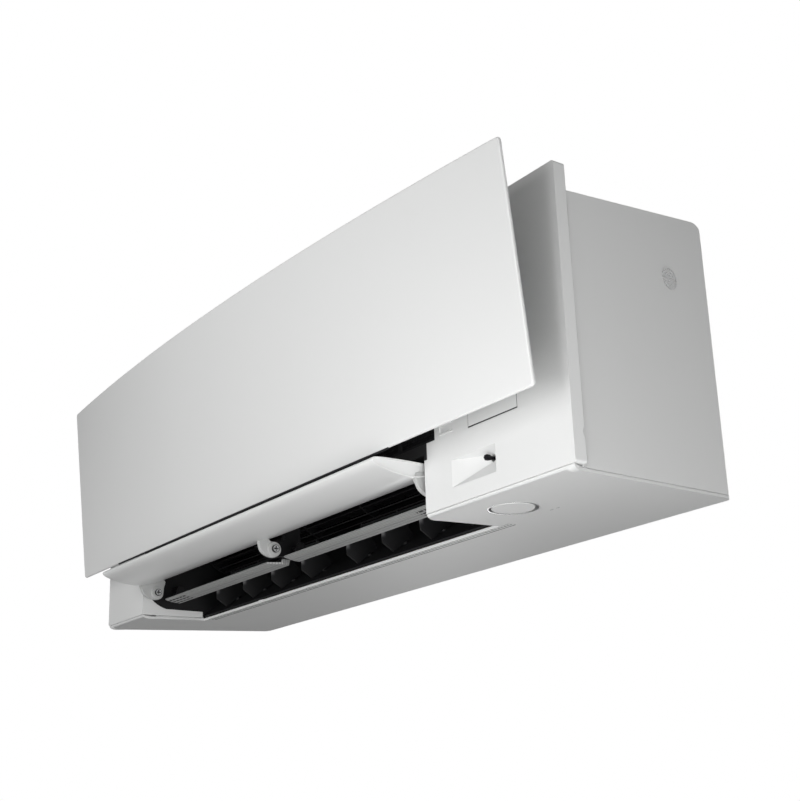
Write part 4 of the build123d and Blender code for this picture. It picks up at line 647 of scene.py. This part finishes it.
def panel_mesh():
    """Front grid, rolled rim and back grid of the panel."""
    across = edge_steps(PANEL_HALF, GRID_ACROSS)
    upward = edge_steps(PANEL_TALL / 2, GRID_UP)
    columns, rows = len(across), len(upward)
    rim = [(i, 0) for i in range(columns)] + [(columns - 1, j) for j in range(1, rows)]
    rim += [(i, rows - 1) for i in range(columns - 2, -1, -1)]
    rim += [(0, j) for j in range(rows - 2, 0, -1)]
    shape = bmesh.new()

    def vertex(x, up, inset, depth):
        return shape.verts.new(panel_place(*pulled_in(x, up, inset), depth))

    def grid(inset, depth):
        lines = [[vertex(x, up, inset, depth) for x in across] for up in upward]
        for low, high in zip(lines, lines[1:]):
            for i in range(columns - 1):
                shape.faces.new((low[i], low[i + 1], high[i + 1], high[i]))
        return [lines[j][i] for i, j in rim]

    loops = [grid(FRONT_INSET, 0.0)]
    for inset, depth in RIM_ROLL:
        loops.append([vertex(across[i], upward[j], inset, depth) for i, j in rim])
    loops.append(grid(BACK_INSET, PANEL_DEEP))
    bridge(shape, loops)
    return shape


# %% [markdown]
# Behind the panel stand six low ribs. They keep the wide moulding from rattling,
# and they are seen from behind and from above when the panel is forward.

# %% The panel's ribs
RIB_COUNT, RIB_START, RIB_PITCH = 6, -330.0, 118.0
RIB_LOW, RIB_HIGH, RIB_REACH = 60.0, 195.0, 4.0
RIB_STEPS = 12
RIB_FOOT, RIB_TOP, RIB_SUNK, RIB_END = 1.0, 0.6, 0.5, 0.2


def rib_ring(middle, step):
    """The section of a rib, which is drawn in at both of its ends."""
    height = RIB_LOW + (RIB_HIGH - RIB_LOW) * step / RIB_STEPS
    foot = PANEL_DEEP - RIB_SUNK
    top = PANEL_DEEP + (RIB_END if step in (0, RIB_STEPS) else RIB_REACH)
    return [panel_place(middle + aside, height, depth)
            for aside, depth in ((-RIB_FOOT, foot), (-RIB_TOP, top), (RIB_TOP, top),
                                 (RIB_FOOT, foot))]


panel_shape = panel_mesh()
for number in range(RIB_COUNT):
    place = RIB_START + RIB_PITCH * number
    sweep(panel_shape, [rib_ring(place, step) for step in range(RIB_STEPS + 1)])
finish_piece("bowed_panel", mesh_from(panel_shape, "bowed_panel"), "panel_white", "panel",
             "front_panel")

# %% [markdown]
# A thin dark strip runs under the panel's lower edge, over the width of the flap. It is
# painted shadow: a black piece that draws the dark shadow gap between panel and flap.

# %% The panel's painted shadow strip
SHADOW_STRIP_OUTLINE = ((0.6, 0.5), (-0.8, 0.7), (-1.3, 1.3), (-1.2, 2.2), (-0.7, 2.8), (0.6, 2.8))
SHADOW_STRIP_START, SHADOW_STRIP_STEP, SHADOW_STRIP_STEPS = -380.0, 16.25, 40
# painted shadow: a black strip where the gap between panel and flap lies in shade
shadow_strip_rings = [[panel_place(SHADOW_STRIP_START + SHADOW_STRIP_STEP * step, height, depth)
               for height, depth in SHADOW_STRIP_OUTLINE] for step in range(SHADOW_STRIP_STEPS + 1)]
finish_piece("panel_shadow_strip", swept("panel_shadow_strip", shadow_strip_rings), "filter_black", "panel")

# %% [markdown]
# ## The flap
#
# The open flap shows its underside, a smooth skin with no crease, bright at the nose
# and falling into shade towards the outlet. The solid keeps straight lines there, so
# a smooth curve is laid through a few named places instead. Its ends are sunk 1.6 mm
# behind a thin wall.

# %% The flap's skin
FLAP_LEFT, FLAP_RIGHT = -383.0, 271.0
FLAP_PLACES = ((-214.3, 51.8), (-222.0, 48.2), (-231.0, 44.6), (-241.0, 41.4), (-252.0, 39.2),
               (-264.0, 38.5), (-278.0, 39.8), (-293.0, 42.8), (-304.0, 46.0),
               (-309.4, 49.2), (-310.3, 51.6), (-308.2, 53.8), (-301.0, 54.9),
               (-285.0, 55.4), (-262.0, 55.6), (-238.0, 54.9), (-218.0, 54.0), (-214.6, 53.4))
# the flap's middle line: level, rising to the rear, and higher at the nose
MIDDLE_Z, MIDDLE_RISE, RISE_FROM = 47.0, 6.0 / 48.0, -262.0
NOSE_Z, NOSE_BEFORE = 50.5, -290.0
PULL_Y, PULL_UP = -260.0, 4.0
PULL_SHARE, PULL_LEAST = 0.45, 0.02     # of the way to the middle line and to PULL_Y
# each end as (inset, way back from the end)
FLAP_END = ((1.6, 1.5), (1.6, 0.05), (0.6, 0.0), (0.2, 0.15), (0.0, 0.6), (0.0, 3.0))
FLAP_STEPS, FLAP_FINE = 12, 5


def smooth_loop(places, steps):
    """A closed curve through the places, with steps points for each of them."""
    count = len(places)
    points = []
    for k in range(count):
        a, b, c, d = (Vector(places[(k + n) % count]) for n in (-1, 0, 1, 2))
        for step in range(steps):
            t = step / steps
            points.append(0.5 * ((2 * b) + (c - a) * t + (2 * a - 5 * b + 4 * c - d) * t * t
                                 + (3 * b - a - 3 * c + d) * t ** 3))
    return points


def drawn_in(points, amount):
    """The loop moved in towards the flap's middle line."""
    result = []
    for point in points:
        y, z = point
        middle = NOSE_Z if y < NOSE_BEFORE else MIDDLE_Z + MIDDLE_RISE * max(0.0, y - RISE_FROM)
        toward = Vector((PULL_Y - y, PULL_UP * (middle - z)))
        limit = PULL_SHARE * abs(middle - z) + PULL_LEAST * abs(y - PULL_Y)
        result.append(point + toward.normalized() * min(amount, limit))
    return result


def flap_mesh():
    """The flap's skin with rounded ends, each sunk behind a thin wall."""
    outline = smooth_loop(FLAP_PLACES, FLAP_FINE)
    half, middle = (FLAP_RIGHT - FLAP_LEFT) / 2, (FLAP_RIGHT + FLAP_LEFT) / 2
    inner = half - FLAP_END[-1][1]
    stations = [(-half + back, inset) for inset, back in FLAP_END]
    stations += [(-inner + 2 * inner * k / FLAP_STEPS, 0.0) for k in range(1, FLAP_STEPS)]
    stations += [(half - back, inset) for inset, back in reversed(FLAP_END)]
    rings = [[world(middle + x, y, z) for y, z in drawn_in(outline, inset)]
             for x, inset in stations]
    return swept("smooth_flap", rings)


finish_piece("smooth_flap", flap_mesh(), "panel_white", "flap", "main_flap")

# %% [markdown]
# Three ears carry the flap on its axis. The middle one is a narrow strip that widens
# into a round boss, and the outer two are full plates. Every boss stands a little
# proud of its plate and has a broken edge. A thin pin goes on from the right one.

# %% The flap's ears
AXIS_Y, AXIS_Z = -230.0, 30.0
NARROW_EAR = ((-250.6, 46.0), (-249.8, 34.0), (-247.4, 27.5), (-242.5, 23.2), (-236.0, 20.9),
              (-230.0, 20.4), (-225.2, 21.7), (-221.7, 25.2), (-220.4, 30.0), (-221.7, 34.8),
              (-225.2, 38.3), (-230.0, 39.6), (-235.5, 40.6), (-239.2, 46.0))
FULL_EAR = ((-256.0, 44.0), (-253.6, 33.0), (-249.6, 26.6), (-243.0, 22.4), (-236.0, 20.6),
            (-230.0, 20.4), (-225.2, 21.7), (-221.7, 25.2), (-220.4, 30.0), (-219.6, 38.0),
            (-218.6, 48.4), (-236.0, 47.0))
# outline, both sides of the plate and both ends of the boss
EARS = ((FULL_EAR, (-382.4, -377.5), (-383.0, -376.0)),
        (NARROW_EAR, (-64.5, -59.0), (-66.0, -56.0)),
        (FULL_EAR, (265.0, 270.4), (264.0, 271.0)))
BOSS_RADIUS, BOSS_EDGE, BOSS_SIDES = 9.0, 0.6, 30
PIN_ENDS, PIN_RADIUS, PIN_EDGE = (269.0, 285.0), 2.4, 0.3
EAR_EDGE, EAR_FINE = 0.4, 3


def boss(x0, x1, radius, chamfer=BOSS_EDGE):
    """A round boss on the flap's axis with a broken edge at both ends."""
    small = radius - chamfer
    stations = ((x0, small), (x0 + chamfer, radius), (x1 - chamfer, radius), (x1, small))
    return swept("boss", [[world(x, AXIS_Y + forward, AXIS_Z + up)
                           for forward, up in circle(r, BOSS_SIDES)] for x, r in stations])


def ear_plate(outline, x0, x1):
    """A flat plate between two places, with its outline rounded and its edges broken."""
    points = smooth_loop(outline, EAR_FINE)
    centre = sum(points, Vector((0.0, 0.0))) / len(points)
    small = [point + (centre - point).normalized() * EAR_EDGE for point in points]
    return swept("ear_plate", [[world(x, y, z) for y, z in ring]
                               for x, ring in ((x0, small), (x0 + EAR_EDGE, points),
                                               (x1 - EAR_EDGE, points), (x1, small))])


ears = []
for outline, plate, hub in EARS:
    ears += [ear_plate(outline, *plate), boss(*hub, BOSS_RADIUS)]
ears.append(boss(*PIN_ENDS, PIN_RADIUS, PIN_EDGE))
flap_ears = finish_piece("flap_ears", joined("flap_ears", ears), "body_white", "flap",
                         "flap_arms")
# painted shade: the ears take a darker grey than the body white, for the shadow they stand in
flap_ears.data.materials[0] = plastic("ear_white_painted_shade", (0.50, 0.505, 0.50), 0.44, tone=0.02,
                                      depth=0.08)

# %% [markdown]
# The sensor's eye is a short six-sided black post that stands forward from the
# bottom of its recess. Behind the outlet lip two fine beads run between the grooves
# and catch the light. The round grille gets a bead round every hole.

# %% Sensor eye and lip beads
EYE_X, EYE_Z, EYE_SIDES = 371.6, 36.5, 6
EYE_PROFILE = ((-233.5, 1.2), (-238.0, 2.0), (-241.2, 3.2), (-245.2, 3.2), (-246.0, 2.7),
               (-246.3, 1.6), (-246.4, 0.5))
eye_rings = [[world(EYE_X + across, y, EYE_Z + up)
              for across, up in circle(radius, EYE_SIDES)] for y, radius in EYE_PROFILE]
finish_piece("sensor_eye", swept("sensor_eye", eye_rings), "lens_dark", "unit", "sensor_lens")

LIP_LINES = (-147.3, -142.2)
LIP_ENDS = (-377.0, -155.0, 67.0, 288.0)
LIP_LOW, LIP_SLOPE, LIP_LOW_Y = -2.15, 0.0343, -150.0
LIP_OUTLINE = ((-0.8, 0.3), (-0.75, -0.25), (-0.4, -0.45), (0.0, -0.5), (0.5, -0.45),
               (0.8, -0.2), (0.8, 0.3))


def lip_bead(y):
    """A fine bead along the outlet, on the underside of the cover."""
    low = LIP_LOW + LIP_SLOPE * (y - LIP_LOW_Y)
    return swept("lip_bead", [[world(x, y + back, low + up) for back, up in LIP_OUTLINE]
                              for x in LIP_ENDS])


finish_piece("lip_beads", joined("lip_beads", [lip_bead(y) for y in LIP_LINES]),
             "panel_white", "unit", smooth_angle=50.0)

# %% The grille's beads
HOLE_RINGS = (1, 6, 12, 18)
HOLE_PITCH = 3.7
VENT_Y, VENT_Z = -70.0, 228.0
VENT_PROUD = 1.25
SIDE_DRAWN_IN, SIDE_DEEP = 28.0, 233.2
BEAD_SIDES = 12
BEAD_PROFILE = ((0.95, -0.1), (1.0, 0.25), (1.2, 0.4), (1.45, 0.25), (1.55, -0.1))


def grille_beads():
    """Beads round the grille's holes, laid on the casing's right side."""
    lean = math.atan2(SIDE_DRAWN_IN, SIDE_DEEP)
    normal = Vector((math.cos(lean), math.sin(lean), 0.0))
    across, upward = Vector((-math.sin(lean), math.cos(lean), 0.0)), Vector((0.0, 0.0, 1.0))
    box_low, box_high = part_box("sensor_grille")
    centre = Vector(((box_low[0] + box_high[0]) / 2, VENT_Y * MM, VENT_Z * MM + LIFT))
    centre += normal * VENT_PROUD * MM
    beads = []
    for ring, count in enumerate(HOLE_RINGS):
        for aside, up in circle(ring * HOLE_PITCH, count):
            middle = centre + (across * aside + upward * up) * MM
            rings = [[middle + (across * x + upward * z + normal * out) * MM
                      for x, z in circle(radius, BEAD_SIDES)]
                     for radius, out in BEAD_PROFILE]
            beads.append(swept("bead", rings + rings[:1], capped=False))
    return joined("grille_beads", beads)


finish_piece("grille_beads", grille_beads(), "bright_ring", "unit")

# %% [markdown]
# ## A row of equal pieces
#
# Fins, net wires and tubes are all the same job: one small shape, repeated along a
# line. A Geometry Nodes tree does it with named inputs for the number and the step.
# A small random lean, from a fixed seed, gives the fins the slightly combed look
# that they always have. The tree ends in Realize Instances and Set Material.

# %% The tree for a row
def row_tree():
    """Repeat the input shape along a line, each copy leaning a little."""
    tree, enter, leave = new_group(
        "row_of_pieces",
        (("Geometry", "NodeSocketGeometry", None), ("Count", "NodeSocketInt", 10),
         ("Step", "NodeSocketVector", (0.002, 0.0, 0.0)), ("Lean", "NodeSocketFloat", 0.0),
         ("Seed", "NodeSocketInt", 3), ("Finish", "NodeSocketMaterial", None)),
        (("Geometry", "NodeSocketGeometry"),), "GeometryNodeTree")
    given = enter.outputs
    line = added(tree, "GeometryNodeMeshLine",
                 {"Count": given["Count"], "Offset": given["Step"]}, mode="OFFSET")
    lean = added(tree, "FunctionNodeRandomValue", {
        2: calc(tree, "MULTIPLY", given["Lean"], -1.0), 3: given["Lean"],
        "Seed": given["Seed"]}, data_type="FLOAT")
    turn = added(tree, "ShaderNodeCombineXYZ", {"Z": lean.outputs[1]})
    place = added(tree, "GeometryNodeInstanceOnPoints", {
        "Points": line.outputs["Mesh"], "Instance": given["Geometry"],
        "Rotation": turn.outputs["Vector"]})
    real = added(tree, "GeometryNodeRealizeInstances",
                 {"Geometry": place.outputs["Instances"]})
    paint = added(tree, "GeometryNodeSetMaterial",
                  {"Geometry": real.outputs["Geometry"], "Material": given["Finish"]})
    feed(tree, leave, {"Geometry": paint.outputs["Geometry"]})
    return tree


ROW = row_tree()


# %% Running the tree
def run_row(single, start, count, step, finish, lean=0.0, seed=3):
    """The mesh of a row of one small shape, moved to its start."""
    holder = bpy.data.objects.new("row_holder", single)
    scene.collection.objects.link(holder)
    modifier = holder.modifiers.new("row", "NODES")
    modifier.node_group = ROW
    values = {"Count": count, "Step": tuple(step), "Lean": lean, "Seed": seed,
              "Finish": MATERIALS[finish]}
    for item in ROW.interface.items_tree:
        if item.in_out == "INPUT" and item.name in values:
            modifier[item.identifier] = values[item.name]
    graph = bpy.context.evaluated_depsgraph_get()
    mesh = bpy.data.meshes.new_from_object(holder.evaluated_get(graph), depsgraph=graph)
    bpy.data.objects.remove(holder)
    mesh.transform(Matrix.Translation(start))
    return mesh


# %% [markdown]
# ## The coil's fins
#
# The heat exchanger is three leaning slabs of thin aluminium fins on copper runs.
# The solids only have grooved faces. Here each slab is a real pack: a wavy fin
# outline, 0.35 mm thick and repeated every 2.2 mm.

# %% Fin packs
SLABS = {"evaporator_front_lower": ((-215.0, 94.0), (-215.0, 184.0)),
         "evaporator_front_upper": ((-206.0, 192.0), (-146.0, 258.0)),
         "evaporator_rear": ((-122.0, 252.0), (-62.0, 192.0))}
COIL_LEFT, COIL_RIGHT = -390.0, 278.0
COIL_HALF = 13.0
FIN_STEP = 2.2
FIN_THICK = 0.35
FIN_MARGIN, FIN_WAVE, FIN_WAVES = 0.6, 0.5, 16
FIN_LEAN, FIN_SEED = 0.0015, 7
FIRST_FIN, COIL_SPARE = 1.5, 2.0


def slab_axes(name):
    """Start, length, unit run and unit across of a slab in the plane of Y and Z."""
    (y0, z0), (y1, z1) = SLABS[name]
    run = math.hypot(y1 - y0, z1 - z0)
    along = ((y1 - y0) / run, (z1 - z0) / run)
    return (y0, z0), run, along, (-along[1], along[0])


def fin_outline(name):
    """Outline of one fin with waved long edges."""
    (y0, z0), run, along, across = slab_axes(name)
    points = []
    for side in (-1, 1):
        edge = []
        for k in range(FIN_WAVES + 1):
            wave = FIN_WAVE * math.cos(math.pi * k)
            s, t = run * k / FIN_WAVES, side * (COIL_HALF - FIN_MARGIN + wave)
            edge.append(((y0 + s * along[0] + t * across[0]) * MM,
                         (z0 + s * along[1] + t * across[1]) * MM))
        points += edge if side < 0 else edge[::-1]
    return points


fin_count = int((COIL_RIGHT - COIL_LEFT - COIL_SPARE) / FIN_STEP)
for number, slab in enumerate(SLABS):
    single_fin = swept("single_fin", [[(x, y, z) for y, z in fin_outline(slab)]
                                      for x in (-FIN_THICK * MM / 2, FIN_THICK * MM / 2)])
    pack = run_row(single_fin, Vector(((COIL_LEFT + FIRST_FIN) * MM, 0, LIFT)), fin_count,
                   (FIN_STEP * MM, 0, 0), "fin_aluminium", FIN_LEAN, FIN_SEED + number)
    finish_piece(slab.replace("evaporator", "fins"), pack, "fin_aluminium", "unit", slab)

# %% [markdown]
# The copper runs go straight through the fins and meet the return bends at both
# ends. Here the row goes up the slab: one run, repeated at the pitch of the bends.

# %% Copper runs
TUBE_RADIUS, TUBE_SIDES = 3.5, 14
TUBE_PITCH, TUBE_COUNT = 21.0, 4
TUBE_EXTRA = 5.0


def tube_mesh(length):
    """A straight run along X."""
    shape = bmesh.new()
    bmesh.ops.create_cone(shape, cap_ends=True, segments=TUBE_SIDES, radius1=TUBE_RADIUS * MM,
                          radius2=TUBE_RADIUS * MM, depth=length * MM)
    bmesh.ops.rotate(shape, verts=shape.verts, matrix=Matrix.Rotation(math.pi / 2, 3, "Y"))
    return mesh_from(shape, "tube_run")


runs = []
for slab in SLABS:
    (y0, z0), run, along, across = slab_axes(slab)
    first = run / 2 - TUBE_PITCH * (TUBE_COUNT - 1) / 2
    start = world((COIL_LEFT + COIL_RIGHT) / 2, y0 + first * along[0], z0 + first * along[1])
    step = (0, along[0] * TUBE_PITCH * MM, along[1] * TUBE_PITCH * MM)
    runs.append(run_row(tube_mesh(COIL_RIGHT - COIL_LEFT + TUBE_EXTRA), start, TUBE_COUNT, step,
                        "copper"))
finish_piece("copper_runs", joined("copper_runs", runs), "copper", "unit")

# %% [markdown]
# ## The filters
#
# Each filter is a thin moulded frame with a net. The solid has a closed sheet in
# place of the net. Here the frame is built from bars, and the net from two rows of
# fine wires, one lying on the other, so light and shadow pass through it.

# %% Filter frames and nets
FILTER_BACK = -236.2
FILTER_THICK = 3.6
FILTER_BAR = 6.0
FILTER_TALL = (74.3, 261.7)
UPRIGHTS, CROSSBARS = 6, 4
BAR_EDGE, CROSSBAR_SUNK = 0.4, 0.1
NET_STEP = 3.0
NET_WIRE = 0.5


def block(name, low, high, edge=0.0):
    """A box between two corners, with its edges broken if edge is given."""
    shape = bmesh.new()
    bmesh.ops.create_cube(shape, size=1.0)
    size, middle = high - low, (low + high) / 2
    for vert in shape.verts:
        vert.co = vert.co * size + middle
    if edge:
        bmesh.ops.bevel(shape, geom=shape.edges[:], offset=edge * MM, segments=2,
                        affect="EDGES", profile=0.5)
    return mesh_from(shape, name)


def filter_piece(name, left, right):
    """One filter: upright bars, crossbars and the net."""
    low, high = FILTER_TALL
    front, back = FILTER_BACK - FILTER_THICK, FILTER_BACK
    wide, tall = right - left - FILTER_BAR, high - low - FILTER_BAR
    pieces = []
    for k in range(UPRIGHTS):
        x = left + wide * k / (UPRIGHTS - 1)
        pieces.append(block("bar", world(x, front, low), world(x + FILTER_BAR, back, high),
                            BAR_EDGE))
    for k in range(CROSSBARS):
        z = low + tall * k / (CROSSBARS - 1)
        pieces.append(block("bar", world(left, front + CROSSBAR_SUNK, z),
                            world(right, back - CROSSBAR_SUNK, z + FILTER_BAR), BAR_EDGE))
    middle_y, half = FILTER_BACK - FILTER_THICK / 2, NET_WIRE / 2
    for reach, span, run, away in (((half, half, tall), wide, (1, 0, 0), -half),
                                   ((wide, half, half), tall, (0, 0, 1), half)):
        start = Vector([0.0 if size > half else -half for size in reach])
        wire = block("wire", start * MM, Vector(reach) * MM)
        pieces.append(run_row(wire, world(left + FILTER_BAR / 2, middle_y + away,
                                          low + FILTER_BAR / 2),
                              int(span / NET_STEP), Vector(run) * NET_STEP * MM,
                              "filter_black"))
    finish_piece(name, joined(name, pieces), "filter_black", "unit",
                 name.replace("woven", "air"))


filter_piece("woven_filter_left", -399.7, -54.0)
filter_piece("woven_filter_right", -52.0, 293.7)

# %% [markdown]
# ## Stage, light and camera
#
# The picture has a plain white ground and light that falls off from the right end
# of the unit to the left. The world is white to the camera and dimmer to the
# object, so that the underside and the recesses keep their depth.

# %% Stage
FLOOR_Z, FLOOR_REACH = -1.9, 20.0
FLOOR_GLOW = 0.62


def stage_finish(name, colour):
    """A matt finish with a faint mottle, pale to the camera and dimmer to the object."""
    material = with_group(name, MOULDED, {
        "Color": (*colour, 1.0), "Tone": 0.02, "Grain": 300.0, "Depth": 0.02,
        "Roughness": 0.9, "Spread": 0.02, "Edge": 0.0}, LINKED[:2])
    tree = material.node_tree
    seen_by_camera = tree.nodes.new("ShaderNodeLightPath").outputs["Is Camera Ray"]
    feed(tree, tree.nodes["Principled BSDF"], {
        "Emission Color": (*colour, 1.0),
        "Emission Strength": calc(tree, "MULTIPLY", seen_by_camera, FLOOR_GLOW)})
    return material


floor_data = bpy.data.meshes.new("stage_floor")
corners = [(x * FLOOR_REACH, y * FLOOR_REACH, FLOOR_Z)
           for x, y in ((-1, -1), (1, -1), (1, 1), (-1, 1))]
floor_data.from_pydata(corners, [], [(0, 1, 2, 3)])
floor_data.materials.append(stage_finish("stage_pale", (0.86, 0.86, 0.86)))
floor = bpy.data.objects.new("stage_floor", floor_data)
scene.collection.objects.link(floor)

# %% Light
AMBIENT = 0.08
GROUND_WHITE = 1.0
sky = bpy.data.worlds.new("soft_room")
sky.use_nodes = True
sky_tree = sky.node_tree
soft = sky_tree.nodes["Background"]
feed(sky_tree, soft, {"Color": (1.0, 1.0, 1.0, 1.0), "Strength": AMBIENT})
seen = added(sky_tree, "ShaderNodeBackground",
             {"Color": (1.0, 1.0, 1.0, 1.0), "Strength": GROUND_WHITE})
rays = sky_tree.nodes.new("ShaderNodeLightPath")
either = added(sky_tree, "ShaderNodeMixShader", {
    "Fac": rays.outputs["Is Camera Ray"], 1: soft.outputs["Background"],
    2: seen.outputs["Background"]})
feed(sky_tree, sky_tree.nodes["World Output"], {"Surface": either.outputs["Shader"]})
scene.world = sky
scene.view_settings.view_transform = "Standard"


def area_light(name, place, target, width, height, power):
    """A rectangular studio light turned to a point."""
    data = bpy.data.lights.new(name, "AREA")
    data.shape = "RECTANGLE"
    data.size, data.size_y = width, height
    data.energy = power
    light = bpy.data.objects.new(name, data)
    scene.collection.objects.link(light)
    light.visible_camera = False
    light.location = place
    light.rotation_mode = "QUATERNION"
    light.rotation_quaternion = (Vector(target) - Vector(place)).to_track_quat("-Z", "Y")


# place, target, width and height in metres, power in watts
LIGHTS = {
    "main_front": ((0.3, -1.9, 0.15), (0.0, -0.2, 0.0), 1.0, 1.0, 9.6),
    "low_front": ((-0.2, -2.2, -0.65), (0.0, -0.25, -0.1), 0.8, 0.8, 12.0),
    "left_front": ((-1.8, -1.8, 0.4), (0.0, -0.2, 0.0), 1.2, 1.2, 1.5),
    "below_near": ((0.6, -0.62, -0.45), (0.3, -0.2, -0.1), 0.4, 0.4, 1.8),
    "right_end": ((1.7, -0.3, -0.5), (0.45, -0.1, 0.0), 0.7, 0.7, 10.0),
    "above": ((0.0, -0.6, 2.0), (0.0, -0.2, 0.0), 1.6, 1.0, 8.0),
    "behind": ((-0.5, 2.3, 0.9), (0.0, 0.0, 0.0), 1.5, 1.5, 20.0),
    "ring_card": ((-1.56, 1.21, -0.945), (0.35, -0.19, -0.16), 0.35, 0.35, 1.2),
}
for light_name, values in LIGHTS.items():
    area_light(light_name, *values)

# %% Camera
SENSOR_WIDTH = 36.0
FOCAL_SHARE = 1368.8 / 800.0     # focal length over picture width, in pixels
camera_data = bpy.data.cameras.new("view_camera")
camera_data.sensor_fit = "HORIZONTAL"
camera_data.sensor_width = SENSOR_WIDTH
camera_data.lens = SENSOR_WIDTH * FOCAL_SHARE
camera_data.clip_start = 0.05
camera_data.clip_end = 100.0
camera = bpy.data.objects.new("view_camera", camera_data)
scene.collection.objects.link(camera)
right = Vector((0.5819, 0.8126, -0.0332))
upward = Vector((0.2739, -0.1574, 0.9488))
backward = Vector((0.7658, -0.5612, -0.3141))
camera.rotation_mode = "QUATERNION"
camera.rotation_quaternion = Matrix((right, upward, backward)).transposed().to_quaternion()
camera.location = (1.3605, -1.0713, -0.3277 + LIFT)
scene.camera = camera
